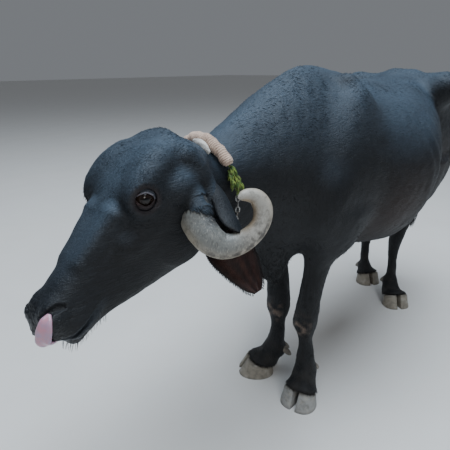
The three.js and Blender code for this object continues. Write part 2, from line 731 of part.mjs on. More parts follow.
// A lid is a soft roll that follows the ball from corner to corner, above (1) or below (-1) the slit
function lidOf(side, above) {
  const { centre, out, slit, brow } = eyeFrame(side);
  const points = [];
  for (let i = 0; i <= 6; i += 1) {
    const turn = (Math.PI * i) / 6;
    const bow = Math.sin(turn);
    const sideways = slit.clone().multiplyScalar(Math.cos(turn)).addScaledVector(brow, above * bow);
    sideways.normalize();
    const polar = degrees(mix(74, 55, bow));
    const aim = out.clone().multiplyScalar(Math.cos(polar)).addScaledVector(sideways, Math.sin(polar));
    points.push(centre.clone().addScaledVector(aim, mix(23, 20, bow)).toArray());
  }
  const thick = (t) => mix(4, 6.5, Math.sin(Math.PI * t));
  const face = out.clone().transformDirection(headMatrix);
  const roll = sweep(curveThrough(points, headMatrix), 7, 6, (t) => [thick(t), thick(t)], () => face);
  return solidOf(outward(roll));
}

// Nostril: a comma that opens forward and curls back along the side of the muzzle
const nostrilLine = [[570, 30, -90], [560, 45, -88], [546, 52, -88], [528, 54, -95], [519, 55, -104]];
function nostrilCut(side) {
  const size = curveOf([[0, 5, 5], [0.3, 9, 9], [0.7, 9, 8], [1, 4, 4]]);
  const curve = curveThrough(nostrilLine.map(([x, y, z]) => [x, side * y, z]), headMatrix);
  const face = v3(0, 0, 1).transformDirection(headMatrix);
  return solidOf(outward(sweep(curve, 6, 8, (t) => size(t).slice(1), () => face)));
}

// The line of the mouth, from one corner round the front of the muzzle to the other
const mouthLine = [[440, 70, -172], [495, 66, -182], [552, 56, -182], [592, 32, -172], [604, 0, -166]];
function mouthCut() {
  const whole = [...mouthLine, ...mouthLine.slice(0, -1).reverse().map(([x, y, z]) => [x, -y, z])];
  const face = v3(0, 0, 1).transformDirection(headMatrix);
  return solidOf(outward(sweep(curveThrough(whole, headMatrix), 12, 4, () => [13, 3], () => face)));
}

// Tongue: out at the front of the mouth, up over the lip on the left and into the left nostril
const tongueLine = [[580, 22, -168], [602, 30, -160], [606, 38, -140], [596, 46, -124], [582, 52, -108],
  [566, 52, -96], [550, 46, -94]];
function makeTongue() {
  const size = curveOf([[0, 17, 6], [0.3, 20, 6], [0.6, 20, 6], [0.85, 14, 5], [1, 6, 4]]);
  const curve = curveThrough(tongueLine, headMatrix);
  const under = v3(0.1, 0.1, -1);
  const front = v3(0.62, 0.5, 0.45);
  const face = (t) => under.clone().lerp(front, clamp(t / 0.4, 0, 1)).transformDirection(headMatrix);
  return solidOf(outward(sweep(curve, 8, 8, (t) => size(t).slice(1), face)));
}

// Horns: a broad flat root at the side of the poll, down and back, then a curl up and forward
const hornLine = [
  [92, 70, -84], [126, 130, -146], [158, 158, -178], [174, 194, -211], [166, 218, -238], [141, 243, -251],
  [102, 268, -250], [64, 280, -236], [38, 278, -208], [34, 268, -178], [48, 256, -158], [72, 247, -146],
];
const hornSize = curveOf([[0, 46, 36], [0.2, 45, 34], [0.42, 34, 28], [0.6, 26, 25], [0.74, 26, 23],
  [0.88, 19, 18], [0.96, 13, 12], [1, 5, 5]]);
function makeHorn(side, cutter) {
  const curve = curveThrough(hornLine.map(([x, y, z]) => [x, side * y, z]), headMatrix);
  const face = v3(0.75, side * 0.62, 0.2).normalize();
  const horn = solidOf(sweep(curve, 20, 8, (t) => hornSize(t).slice(1), () => face));
  return largest(horn.subtract(cutter));
}

// Ears: a leaf that starts as a rolled tube behind the horn, opens into a cup and ends in a point
const earLine = [[40, 84, -150], [62, 130, -186], [102, 168, -232], [140, 206, -280], [172, 250, -330],
  [196, 296, -372]];
const earShape = curveOf([[0, 30, 150, 11], [0.15, 34, 125, 10], [0.35, 56, 82, 8], [0.6, 66, 62, 7],
  [0.82, 62, 42, 6], [0.95, 40, 26, 4.5], [1, 22, 16, 4]]);
function makeEar(side, cutter) {
  const curve = curveThrough(earLine.map(([x, y, z]) => [x, side * y, z]), headMatrix);
  const steps = 8;
  const across = 6;
  const facing = v3(0.8, side * 0.45, 0.25).normalize();
  const points = [];
  for (let layer = 0; layer < 2; layer += 1) {
    for (let i = 0; i <= steps; i += 1) {
      const t = i / steps;
      const centre = curve.getPoint(t);
      const tangent = curve.getTangent(t);
      const width = v3().crossVectors(tangent, facing).normalize().multiplyScalar(side);
      const open = v3().crossVectors(width, tangent).normalize().multiplyScalar(side);
      const [, radius, half, thick] = earShape(t);
      for (let j = 0; j <= across; j += 1) {
        const angle = degrees(half) * ((2 * j) / across - 1);
        const spread = radius + (layer === 0 ? thick / 2 : -thick / 2);
        points.push(centre.clone().addScaledVector(width, spread * Math.sin(angle))
          .addScaledVector(open, radius - spread * Math.cos(angle)));
      }
    }
  }
  const row = across + 1;
  const inner = row * (steps + 1);
  const faces = [];
  const quad = (a, b, c, d) => faces.push(a, b, c, a, c, d);
  for (let i = 0; i < steps; i += 1) {
    for (let j = 0; j < across; j += 1) {
      const a = i * row + j;
      quad(a, a + 1, a + row + 1, a + row);
      quad(inner + a, inner + a + row, inner + a + row + 1, inner + a + 1);
    }
    const edge = i * row;
    quad(edge, edge + row, inner + edge + row, inner + edge);
    quad(edge + across, inner + edge + across, inner + edge + across + row, edge + across + row);
  }
  for (let j = 0; j < across; j += 1) {
    quad(j, inner + j, inner + j + 1, j + 1);
    const end = steps * row + j;
    quad(end, end + 1, inner + end + 1, inner + end);
  }
  const solid = solidOf(outward(meshOf(points, faces)));
  return largest(solid.subtract(cutter));
}

// Turns a closed mesh inside out where its volume comes out negative
function outward(geometry) {
  const position = geometry.getAttribute("position");
  const index = geometry.getIndex().array;
  const at = (n) => v3().fromBufferAttribute(position, n);
  let volume = 0;
  for (let i = 0; i < index.length; i += 3) {
    volume += at(index[i]).dot(at(index[i + 1]).cross(at(index[i + 2])));
  }
  if (volume > 0) return geometry;
  const turned = Array.from(index);
  for (let i = 0; i < turned.length; i += 3) [turned[i + 1], turned[i + 2]] = [turned[i + 2], turned[i + 1]];
  geometry.setIndex(turned);
  return geometry;
}

// Tail: a rope of bone and skin that hangs to the hocks, with a switch of coarse hair at its end
const tailLine = [tailTop, [-900, -51, 1196], [-922, -52, 1110], [-926, -54, 940], [-920, -56, 780],
  [-914, -58, switchTop]];
function makeTail(cutter) {
  const size = curveOf([[0, 42, 34], [0.2, 32, 28], [0.5, 22, 20], [0.85, 17, 16], [1, 16, 15]]);
  const rope = sweep(curveThrough(tailLine), 12, 8, (t) => size(t).slice(1), () => v3(0, 1, 0));
  const tail = solidOf(outward(rope)).intersect(behindPlane([0, 0, switchTop], [0, 0, -1], -gap / 2));
  return largest(tail.subtract(cutter));
}

// One lock: flat, curved, with its root sunk in the core and its tip fine. Four sides, few steps
function lockOf(root, angle, length, width, curl) {
  const away = v3(Math.cos(angle), Math.sin(angle), 0);
  const along = v3(-away.y, away.x, 0);
  const points = [0, 0.35, 0.7, 1].map((t) => {
    const out = 9 * Math.sin(Math.PI * Math.min(t * 1.3, 1)) + 12 * t * (1 - t);
    return root.clone().addScaledVector(away, out).addScaledVector(along, curl * t * t)
      .add(v3(0, 0, -length * t)).toArray();
  });
  const half = curveOf([[0, 0.7, 1], [0.3, 1, 1], [0.75, 0.7, 0.8], [1, 0.16, 0.3]]);
  const sectionAt = (t) => [half(t)[1] * width, half(t)[2] * 4.5];
  return solidOf(outward(sweep(curveThrough(points), 3, 4, sectionAt, () => away)));
}

function makeSwitch() {
  const draw = seeded(17);
  const line = [[-914, -58, switchTop + 20], [-913, -58, 600], [-911, -58, 540], [-910, -58, 500]];
  const size = curveOf([[0, 16, 16], [0.4, 19, 18], [0.8, 12, 12], [1, 5, 5]]);
  const middle = sweep(curveThrough(line), 4, 6, (t) => size(t).slice(1), () => v3(0, 1, 0));
  let core = solidOf(outward(middle));
  const tiers = [[606, 5, 12], [540, 4, 9]];
  for (const [level, count, radius] of tiers) {
    for (let i = 0; i < count; i += 1) {
      const angle = (2 * Math.PI * (i + 0.5 * draw() + (level % 7) / 7)) / count;
      const root = v3(-912, -58, level + 8 * draw());
      root.add(v3(Math.cos(angle), Math.sin(angle), 0).multiplyScalar(radius));
      const length = mix(0.7, 1, draw()) * (level - switchTip);
      core = core.add(lockOf(root, angle, length, mix(14, 18, draw()), mix(-12, 12, draw())));
    }
  }
  return largest(core.intersect(behindPlane([0, 0, switchTop], [0, 0, 1], -gap / 2)));
}

// Udder: a small bag with four teats, between the thighs
function makeUdder(torso) {
  const bag = ball([-425, hipsY, 655], [108, 72, 86], 0, -6);
  const teats = [1, -1].flatMap((side) => [-385, -458].map((x) =>
    [cord([x, hipsY + side * 38, 606], [x + 4, hipsY + side * 46, 528], 18, 9), 22]));
  const net = netOf(blended(bag, teats), [-560, -130, 480], [-290, 70, 780], [34, 27, 30]);
  return largest(solidOf(net).subtract(solidOf(geometryOf(torso).translate(0, 0, -0.6))));
}

// Dewclaws: two blunt cones behind each fetlock
function makeDewclaw(leg, hand, cutter) {
  const height = leg.girth === foreGirth ? 128 : 104;
  const [, x, y] = curveOf(leg.path)(height);
  const [, long, wide] = curveOf(leg.girth)(height);
  const angle = degrees(curveOf(leg.turn)(height)[1]);
  const ahead = v3(Math.cos(angle), Math.sin(angle), 0);
  const across = v3(-ahead.y, ahead.x, 0).multiplyScalar(hand);
  const root = v3(x, y, height + 12).addScaledVector(ahead, -long * 0.9).addScaledVector(across, wide * 0.42);
  const tip = v3(x, y, height - 26).addScaledVector(ahead, -long - 36).addScaledVector(across, wide * 0.55);
  const curve = new THREE.LineCurve3(root, tip);
  const size = curveOf([[0, 17, 15], [0.7, 14, 12], [1, 6, 5]]);
  const cone = sweep(curve, 2, 5, (t) => size(t).slice(1), () => v3(0, 0, 1));
  return largest(solidOf(outward(cone)).subtract(cutter));
}

// Collar: it lies on the neck in one leaning plane. At each angle the skin is found along a ray
const collarCentre = v3(974, 12, 1040);
const collarUp = v3(0.21, 0, 1).normalize();
const collarSide = v3(0.02, 1, 0).normalize();
function collarPoint(angle, lift, ahead = 0) {
  const centre = collarCentre.clone().add(v3(ahead, 0, 0));
  const ray = collarUp.clone().multiplyScalar(Math.cos(degrees(angle)))
    .addScaledVector(collarSide, Math.sin(degrees(angle)));
  let low = 20;
  let high = 400;
  for (let round = 0; round < 24; round += 1) {
    const middle = (low + high) / 2;
    const p = centre.clone().addScaledVector(ray, middle);
    if (body(p.x, p.y, p.z) < 0) low = middle;
    else high = middle;
  }
  return centre.addScaledVector(ray, low + lift);
}

function collarTube(from, to, steps, sides, radius, lift, ahead = 0) {
  const points = [];
  for (let i = 0; i <= steps; i += 1) {
    points.push(collarPoint(mix(from, to, i / steps), lift, ahead).toArray());
  }
  const axis = v3().crossVectors(collarUp, collarSide).normalize();
  const tube = sweep(curveThrough(points), steps, sides, (t) => [radius(t), radius(t)], () => axis);
  return solidOf(outward(tube));
}

// Leafy fibres knotted between the rope's end and the chain: flat vanes that hang over one another
function makeFibres(cutter) {
  const draw = seeded(5);
  let bunch = collarTube(59, 80, 4, 6, () => 9, 10);
  for (let i = 0; i < 3; i += 1) {
    const start = 62 + 4 * i;
    const line = [0, 0.5, 1].map((t) =>
      collarPoint(start + 9 * t, 14 + 9 * Math.sin(2.4 * t), mix(-14, 14, draw()) * t).toArray());
    const sectionAt = (t) => [mix(11, 5, t), mix(4, 2, t)];
    const vane = sweep(curveThrough(line), 3, 4, sectionAt, () => v3(-0.1, 1, 0.4));
    bunch = bunch.add(solidOf(outward(vane)));
  }
  return largest(bunch.subtract(cutter));
}

function keep(name, solid, color, roughness, metalness = 0) {
  const material = new THREE.MeshStandardMaterial({ color, roughness, metalness });
  const mesh = new THREE.Mesh(welded(geometryOf(solid)), material);
  mesh.name = name;
  nodes[name] = mesh;
  return solid;
}

const hide = 0x23272b;
const hornGrey = 0xb9b2a2;
const clawGrey = 0xa9a396;
const rope = 0xcbb2a0;
const steel = 0x5d5d5a;
const sideNames = [["left", 1], ["right", -1]];

const tongue = makeTongue();
const torso = keep("torso", makeTorso(), hide, 0.55);
const neck = keep("neck", makeNeck(), hide, 0.55);
const head = keep("head", makeHead(), hide, 0.5);
const headCutter = grown(head, gap);
for (const [word, side] of sideNames) {
  const horn = keep(`horn_${word}`, makeHorn(side, headCutter), hornGrey, 0.6);
  keep(`ear_${word}`, makeEar(side, headCutter.add(grown(horn, gap)).add(grown(neck, gap))), hide, 0.6);
  keep(`eye_${word}`, eyeball(side, eyeRadius), 0x0b0a09, 0.08);
}
keep("tongue", tongue, 0xc98f9c, 0.35);

for (const [name, leg] of Object.entries(legs)) {
  const solid = keep(`leg_${name}`, makeLeg(name), hide, 0.55);
  const outerHand = name.startsWith("left") ? 1 : -1;
  for (const [word, hand] of [["outer", outerHand], ["inner", -outerHand]]) {
    keep(`claw_${name}_${word}`, makeClaw(leg, hand), clawGrey, 0.6);
    keep(`dewclaw_${name}_${word}`, makeDewclaw(leg, hand, grown(solid, gap)), clawGrey, 0.6);
  }
}
const torsoCutter = grown(torso, gap);
keep("tail", makeTail(torsoCutter), hide, 0.6);
keep("tail_switch", makeSwitch(), 0x17181a, 0.7);
keep("udder", makeUdder(torso), 0x3a3433, 0.6);

const neckCutter = grown(neck, 1).add(grown(head, 1));
const ropeTube = collarTube(-62, 56, 12, 8, () => 18.5, 18);
const collarRope = keep("collar_rope", largest(ropeTube.subtract(neckCutter)), rope, 0.9);
const ropeCutter = grown(collarRope, 1);
const tieTube = collarTube(6, 34, 5, 6, (t) => mix(9, 13, Math.sin(Math.PI * t)), 11, 36);
keep("collar_tie", largest(tieTube.subtract(neckCutter).subtract(ropeCutter)), 0xdad6cf, 0.9);
keep("collar_fibres", makeFibres(neckCutter.add(ropeCutter)), 0x5d7a2e, 0.9);
keep("collar_chain", collarTube(81.5, 297, 21, 5, () => 6, 8).subtract(ropeCutter), steel, 0.5, 0.6);

// Stand the model with the middle of its footprint on the origin
const model = new THREE.Group();
for (const mesh of Object.values(nodes)) model.add(mesh);
const bounds = new THREE.Box3().setFromObject(model);
model.position.set(-(bounds.min.x + bounds.max.x) / 2, -(bounds.min.y + bounds.max.y) / 2, -bounds.min.z);

export default model;
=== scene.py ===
"""Looks of a water buffalo cow of a heavy breed with drooping, curled horns, standing still, life size.

Everything is in metres. Forms are given in the frame in which the body was built: x runs forward along
the back, y is the animal's left, z is up and the floor is z = 0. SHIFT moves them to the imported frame.
The skin is one net laid on a field of blended forms, negative inside, the same forms as the solids have.
"""
import math

import bpy
import numpy as np
from mathutils import Matrix, Vector


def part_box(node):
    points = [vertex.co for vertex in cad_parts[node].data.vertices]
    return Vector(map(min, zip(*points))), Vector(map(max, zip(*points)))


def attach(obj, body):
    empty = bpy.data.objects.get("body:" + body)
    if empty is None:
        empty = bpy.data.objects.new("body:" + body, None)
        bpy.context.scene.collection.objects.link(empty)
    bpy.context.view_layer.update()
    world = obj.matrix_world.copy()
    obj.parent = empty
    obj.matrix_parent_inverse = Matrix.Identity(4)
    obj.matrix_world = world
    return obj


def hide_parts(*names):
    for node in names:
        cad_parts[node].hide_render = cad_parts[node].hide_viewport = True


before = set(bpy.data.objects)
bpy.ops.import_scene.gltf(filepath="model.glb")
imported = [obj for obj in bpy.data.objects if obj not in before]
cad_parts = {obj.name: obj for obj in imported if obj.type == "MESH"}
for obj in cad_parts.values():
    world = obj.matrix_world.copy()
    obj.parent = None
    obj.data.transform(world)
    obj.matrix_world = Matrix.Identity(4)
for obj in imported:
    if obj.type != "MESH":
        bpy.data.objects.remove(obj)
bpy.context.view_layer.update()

# Where the head is: its own frame has x to the muzzle, y left, z up out of the brow
HEAD_ORIGIN = np.array([1.143, 0.025, 1.229])
HEAD_YAW = 3.9
HEAD_PITCH = 32.4
HEAD_ROLL = 1.2
HEAD_LOWEST = 0.7
EYE_CENTRE = np.array([0.214, 0.097, -0.039])
EYE_RADIUS = 0.0235
SOCKET_RADIUS = EYE_RADIUS + 0.0055
TAIL_TOP = (-0.862, -0.05, 1.232)
TAIL_FRONT = -0.87
SWITCH_TOP = 0.64
HIPS_Y = -0.032
SKIN_DEPTH = 0.002
CORONET_HEEL = 0.046
CORONET_TOE = 0.092

# Camera of the photograph, in the frame in which the body was built
CAMERA_PLACE = (1.8690, 0.9926, 1.3804)
CAMERA_YAW = 225.317
CAMERA_PITCH = -20.058
CAMERA_ROLL = -0.611
FOCAL_PIXELS = 431.91
PHOTO_PIXELS = 450


def turning(axis, angle):
    """Rotation matrix about a coordinate axis, angle in degrees"""
    return np.array(Matrix.Rotation(math.radians(angle), 3, axis))


HEAD_TURN = turning("Z", HEAD_YAW) @ turning("Y", HEAD_PITCH) @ turning("X", HEAD_ROLL)


def to_head(places):
    return (places - HEAD_ORIGIN) @ HEAD_TURN


def from_head(places):
    return np.asarray(places, float) @ HEAD_TURN.T + HEAD_ORIGIN


def mid(node):
    low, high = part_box(node)
    return (np.array(low) + np.array(high)) / 2


SHIFT = mid("eye_left") - from_head(EYE_CENTRE)


def unit(vectors):
    """Vectors of length 1 along the given ones"""
    vectors = np.asarray(vectors, float)
    return vectors / np.maximum(np.linalg.norm(vectors, axis=-1, keepdims=True), 1e-12)


def smooth(value, low, high):
    """0 below low, 1 above high, with a smooth step between"""
    t = np.clip((value - low) / (high - low), 0, 1)
    return t * t * (3 - 2 * t)


# Curves
def curve_of(rows):
    """A smooth curve through rows of numbers: the first number of a row is the station"""
    rows = np.array(rows, float)
    before = np.vstack([rows[:1], rows[:-1]])
    after = np.vstack([rows[1:], rows[-1:]])
    slope = (after - before) / (after[:, :1] - before[:, :1])

    def at(station):
        s = np.clip(station, rows[0, 0], rows[-1, 0])
        i = np.searchsorted(rows[1:-1, 0], s)
        span = rows[i + 1, 0] - rows[i, 0]
        t = ((s - rows[i, 0]) / span)[..., None]
        span = span[..., None]
        value = rows[i] * (2 * t**3 - 3 * t**2 + 1) + rows[i + 1] * (3 * t**2 - 2 * t**3)
        return value + span * (slope[i] * (t**3 - 2 * t**2 + t) + slope[i + 1] * (t**3 - t**2))

    return at


def spline(points):
    """A rounded curve through points, given from 0 to 1"""
    points = np.array(points, float)
    points = np.vstack([2 * points[0] - points[1], points, 2 * points[-1] - points[-2]])
    knots = np.sqrt(np.linalg.norm(np.diff(points, axis=0), axis=1))

    def at(t):
        t = np.asarray(t, float)
        spans = len(points) - 3
        i = np.clip(np.floor(t * spans).astype(int), 0, spans - 1)
        w = (t * spans - i)[..., None]
        p0, p1, p2, p3 = (points[i + k] for k in range(4))
        d0, d1, d2 = (knots[i + k][..., None] for k in range(3))
        m1 = ((p1 - p0) / d0 - (p2 - p0) / (d0 + d1) + (p2 - p1) / d1) * d1
        m2 = ((p2 - p1) / d1 - (p3 - p1) / (d1 + d2) + (p3 - p2) / d2) * d1
        return p1 + m1 * w + (3 * (p2 - p1) - 2 * m1 - m2) * w**2 + (2 * (p1 - p2) + m1 + m2) * w**3

    return at


# Fields: each takes places and gives roughly the distance to its surface, negative inside
def section_distance(u, v, half_u, half_v, power):
    reach = (np.abs(u / half_u) ** power + np.abs(v / half_v) ** power) ** (1 / power)
    length = np.hypot(u, v)
    return np.where(reach < 1e-4, -np.minimum(half_u, half_v), length - length / np.maximum(reach, 1e-4))


def capped(side, past):
    return np.where(np.minimum(side, past) > 0, np.hypot(side, past), np.maximum(side, past))


def trunk_form(rows):
    """Sections along x. A row holds x, top, bottom, half width, middle y, level of the greatest width
    as a share of the height, and the roundness above and below it"""
    at = curve_of(rows)
    first, last = rows[0][0], rows[-1][0]

    def field(p):
        x, y, z = p.T
        _, top, bottom, half, middle, wide, above, below = at(x).T
        centre = bottom + (top - bottom) * wide
        up = z > centre
        side = section_distance(y - middle, z - centre, half, np.where(up, top - centre, centre - bottom),
                                np.where(up, above, below))
        return capped(side, np.maximum(first - x, x - last))

    return field


def limb_form(path, girth, turn):
    """Sections across a limb. Path rows hold z, x, y; girth rows z, half length, half width, roundness"""
    place_at, girth_at, turn_at = curve_of(path), curve_of(girth), curve_of(turn)
    low, high = girth[0][0], girth[-1][0]

    def field(p):
        x, y, z = p.T
        _, cx, cy = place_at(z).T
        _, long, wide, power = girth_at(z).T
        angle = np.radians(turn_at(z)[:, 1])
        u = (x - cx) * np.cos(angle) + (y - cy) * np.sin(angle)
        v = (y - cy) * np.cos(angle) - (x - cx) * np.sin(angle)
        return capped(section_distance(u, v, long, wide, power), np.maximum(low - z, z - high))

    return field


def ball(centre, radii, yaw=0, pitch=0):
    turn = turning("Z", yaw) @ turning("Y", pitch)
    radii = np.array(radii)

    def field(p):
        q = ((p - centre) @ turn) / radii
        near = np.linalg.norm(q, axis=1)
        far = np.linalg.norm(q / radii, axis=1)
        return np.where(near < 1e-4, -radii.min(), near * (near - 1) / np.maximum(far, 1e-9))

    return field


def cord(start, end, radius_start, radius_end):
    start = np.array(start)
    along = np.array(end) - start
    square = along @ along

    def field(p):
        d = p - start
        t = np.clip(d @ along / square, 0, 1)
        radius = radius_start + (radius_end - radius_start) * t
        return np.linalg.norm(d - t[:, None] * along, axis=1) - radius

    return field


def chain_of(points, radii):
    """Cords end to end through points"""
    parts = [cord(a, b, ra, rb) for a, b, ra, rb in zip(points, points[1:], radii, radii[1:])]

    def field(p):
        return np.minimum.reduce([part(p) for part in parts])

    return field


def smooth_min(a, b, width):
    overlap = np.maximum(width - np.abs(a - b), 0) / width
    return np.minimum(a, b) - overlap * overlap * width / 4


def blended(base, forms):
    """Adds forms (field, width) to a base, or takes them away where the width is negative"""
    def field(p):
        value = base(p)
        for form, width in forms:
            other = form(p)
            value = smooth_min(value, other, width) if width > 0 else -smooth_min(-value, other, -width)
        return value

    return field


# Trunk and neck
TRUNK = [
    (-0.9, 1.12, 1.04, 0.04, -0.062, 0.5, 2, 2), (-0.86, 1.215, 0.9, 0.11, -0.06, 0.6, 2, 2),
    (-0.78, 1.275, 0.8, 0.165, -0.055, 0.6, 1.9, 2), (-0.65, 1.318, 0.755, 0.2, -0.045, 0.6, 2.1, 2),
    (-0.52, 1.332, 0.725, 0.222, -0.036, 0.58, 2.3, 2),
    (-0.42, 1.334, 0.69, 0.244, -0.03, 0.56, 2.4, 2), (-0.3, 1.33, 0.65, 0.274, -0.018, 0.55, 2.15, 2),
    (-0.2, 1.328, 0.614, 0.305, -0.006, 0.55, 2, 2), (-0.1, 1.327, 0.584, 0.336, 0, 0.56, 1.9, 2),
    (0, 1.328, 0.566, 0.364, 0.004, 0.56, 1.8, 2), (0.1, 1.332, 0.588, 0.358, 0.004, 0.54, 1.75, 2),
    (0.2, 1.341, 0.612, 0.338, 0.002, 0.52, 1.65, 2),
    (0.3, 1.366, 0.638, 0.308, 0.002, 0.5, 1.55, 1.9), (0.38, 1.391, 0.656, 0.285, 0, 0.48, 1.45, 1.8),
    (0.447, 1.4, 0.664, 0.265, 0, 0.46, 1.4, 1.8), (0.52, 1.39, 0.66, 0.246, 0, 0.46, 1.45, 1.7),
    (0.6, 1.358, 0.652, 0.222, 0, 0.46, 1.6, 1.6), (0.7, 1.312, 0.7, 0.188, 0.002, 0.48, 1.75, 1.7),
    (0.8, 1.258, 0.79, 0.155, 0.005, 0.5, 1.85, 1.8), (0.9, 1.208, 0.85, 0.132, 0.01, 0.52, 1.9, 1.9),
    (1, 1.162, 0.885, 0.114, 0.015, 0.55, 1.9, 1.9), (1.08, 1.122, 0.91, 0.095, 0.019, 0.56, 2, 2),
    (1.15, 1.09, 0.965, 0.075, 0.023, 0.58, 2, 2),
]

# Legs
FORE_GIRTH = [
    (-0.1, 0.07, 0.066, 2.4), (0.05, 0.066, 0.062, 2.4), (0.085, 0.058, 0.057, 2.3),
    (0.14, 0.05, 0.047, 2.1), (0.185, 0.042, 0.041, 2), (0.235, 0.035, 0.033, 2.1),
    (0.275, 0.033, 0.03, 2.2), (0.305, 0.038, 0.036, 2.2), (0.35, 0.05, 0.05, 2.5),
    (0.4, 0.052, 0.051, 2.3), (0.46, 0.054, 0.048, 2), (0.54, 0.056, 0.047, 2), (0.6, 0.06, 0.05, 2),
    (0.66, 0.07, 0.056, 2), (0.73, 0.09, 0.064, 2), (0.8, 0.112, 0.064, 2), (0.85, 0.12, 0.054, 2),
]
HIND_GIRTH = [
    (-0.1, 0.064, 0.062, 2.4), (0.05, 0.062, 0.06, 2.4), (0.095, 0.05, 0.047, 2.2),
    (0.15, 0.033, 0.031, 2), (0.22, 0.03, 0.027, 2.1), (0.265, 0.032, 0.028, 2.1),
    (0.327, 0.042, 0.034, 2.1), (0.375, 0.054, 0.04, 2.2), (0.41, 0.06, 0.041, 2.1),
    (0.48, 0.056, 0.042, 2), (0.56, 0.064, 0.048, 2), (0.65, 0.086, 0.058, 2), (0.74, 0.122, 0.07, 2),
    (0.83, 0.152, 0.08, 2), (0.9, 0.16, 0.084, 2),
]
LEGS = {
    "left_fore": dict(
        path=[(0, 0.59, 0.14), (0.075, 0.56, 0.134), (0.12, 0.536, 0.126), (0.17, 0.524, 0.12),
              (0.24, 0.516, 0.114), (0.35, 0.512, 0.1), (0.43, 0.506, 0.105), (0.54, 0.497, 0.116),
              (0.64, 0.484, 0.128), (0.72, 0.468, 0.156), (0.85, 0.436, 0.196)],
        girth=FORE_GIRTH, turn=[(0, 10), (0.35, 10), (0.8, 0)],
        toe=(0.648, 0.150), heading=10, claw_length=0.130, claw_width=0.071),
    "right_fore": dict(
        path=[(0, 0.54, -0.14), (0.07, 0.52, -0.112), (0.12, 0.5, -0.088), (0.17, 0.494, -0.072),
              (0.24, 0.491, -0.06), (0.35, 0.49, -0.062), (0.43, 0.488, -0.066), (0.54, 0.482, -0.084),
              (0.64, 0.474, -0.122), (0.72, 0.464, -0.158), (0.85, 0.436, -0.196)],
        girth=FORE_GIRTH, turn=[(0, -46), (0.2, -40), (0.35, -20), (0.8, 0)],
        toe=(0.604, -0.200), heading=-46, claw_length=0.166, claw_width=0.072),
    "left_hind": dict(
        path=[(0, -0.492, 0.086), (0.055, -0.53, 0.034), (0.1, -0.56, 0.004), (0.15, -0.584, -0.01),
              (0.22, -0.598, -0.018), (0.3, -0.606, -0.026), (0.375, -0.616, -0.024), (0.45, -0.63, -0.01),
              (0.54, -0.622, 0.024), (0.64, -0.588, 0.066), (0.76, -0.522, 0.108), (0.9, -0.49, 0.135)],
        girth=HIND_GIRTH, turn=[(0, 50), (0.2, 46), (0.45, 30), (0.65, 12), (0.9, 0)],
        toe=(-0.466, 0.118), heading=50, claw_length=0.120, claw_width=0.070),
    "right_hind": dict(
        path=[(0, -0.648, -0.182), (0.055, -0.656, -0.202), (0.1, -0.66, -0.22), (0.15, -0.658, -0.23),
              (0.22, -0.658, -0.236), (0.3, -0.664, -0.238), (0.375, -0.674, -0.236),
              (0.45, -0.688, -0.228), (0.54, -0.676, -0.214), (0.64, -0.628, -0.198),
              (0.76, -0.545, -0.186), (0.9, -0.495, -0.18)],
        girth=HIND_GIRTH, turn=[(0, 58), (0.2, 50), (0.45, 26), (0.65, 8), (0.9, 0)],
        toe=(-0.636, -0.147), heading=58, claw_length=0.120, claw_width=0.070),
}
LEG_BLEND = 0.07


def flank_forms(side):
    """Shoulder, haunch, hips and hollows on one side"""
    hip = HIPS_Y + side * 0.222
    return [
        (ball((0.42, side * 0.172, 1.01), (0.12, 0.082, 0.29), 0, -12), 0.09),
        (ball((0.52, side * 0.16, 0.88), (0.12, 0.08, 0.15), side * 20, 20), 0.08),
        (ball((0.405, side * 0.196, 0.815), (0.105, 0.048, 0.08), 0, 30), 0.06),
        (cord((0.36, side * 0.12, 1.33), (0.33, side * 0.2, 1.13), 0.026, 0.034), 0.06),
        (ball((-0.6, HIPS_Y + side * 0.134, 0.96), (0.215, 0.088, 0.255), side * -4, 14), 0.09),
        (ball((-0.455, HIPS_Y + side * 0.17, 0.85), (0.095, 0.056, 0.16), 0, 26), 0.07),
        (cord((-0.44, HIPS_Y + side * 0.06, 1.296), (-0.402, hip, 1.278), 0.04, 0.044), 0.09),
        (cord((-0.402, hip, 1.278), (-0.8, HIPS_Y - 0.01 + side * 0.1, 1.18), 0.042, 0.046), 0.11),
        (ball((-0.398, HIPS_Y + side * 0.234, 1.272), (0.056, 0.038, 0.046), 0, 20), 0.06),
        (ball((-0.455, HIPS_Y + side * 0.04, 1.296), (0.074, 0.046, 0.044), 0, 10), 0.06),
        (ball((-0.83, HIPS_Y - 0.012 + side * 0.1, 1.165), (0.066, 0.056, 0.066), 0, 0), 0.08),
        (cord((-0.7, HIPS_Y + side * 0.118, 0.9), (-0.69, HIPS_Y + side * 0.095, 0.7), 0.078, 0.052), 0.08),
    ]


trunk = blended(trunk_form(TRUNK), [
    *flank_forms(1), *flank_forms(-1),
    (cord((0.65, 0.002, 0.69), (0.613, 0.008, 0.576), 0.062, 0.028), 0.07),
    (cord((0.7, 0, 0.8), (0.645, 0, 0.64), 0.07, 0.04), 0.08),
    (cord((-0.85, -0.046, 1.24), TAIL_TOP, 0.044, 0.038), 0.06),
])


def at_height(rows, height):
    return curve_of(rows)(np.array([height]))[0]


def hock_of(leg):
    """The point of the hock stands out behind the joint"""
    _, x, y = at_height(leg["path"], 0.45)
    _, upper_x, upper_y = at_height(leg["path"], 0.62)
    angle = math.radians(at_height(leg["turn"], 0.44)[1])
    cos, sin = math.cos(angle), math.sin(angle)
    return cord((x - 0.052 * cos, y - 0.052 * sin, 0.455),
                (upper_x - 0.066 * cos, upper_y - 0.066 * sin, 0.64), 0.019, 0.028)


def behind(leg, height, back, radii):
    """A swelling behind a leg, such as the back of the fetlock or the bulb of the heel"""
    _, x, y = at_height(leg["path"], height)
    angle = math.radians(leg["heading"])
    return ball((x - back * math.cos(angle), y - back * math.sin(angle), height), radii, leg["heading"])


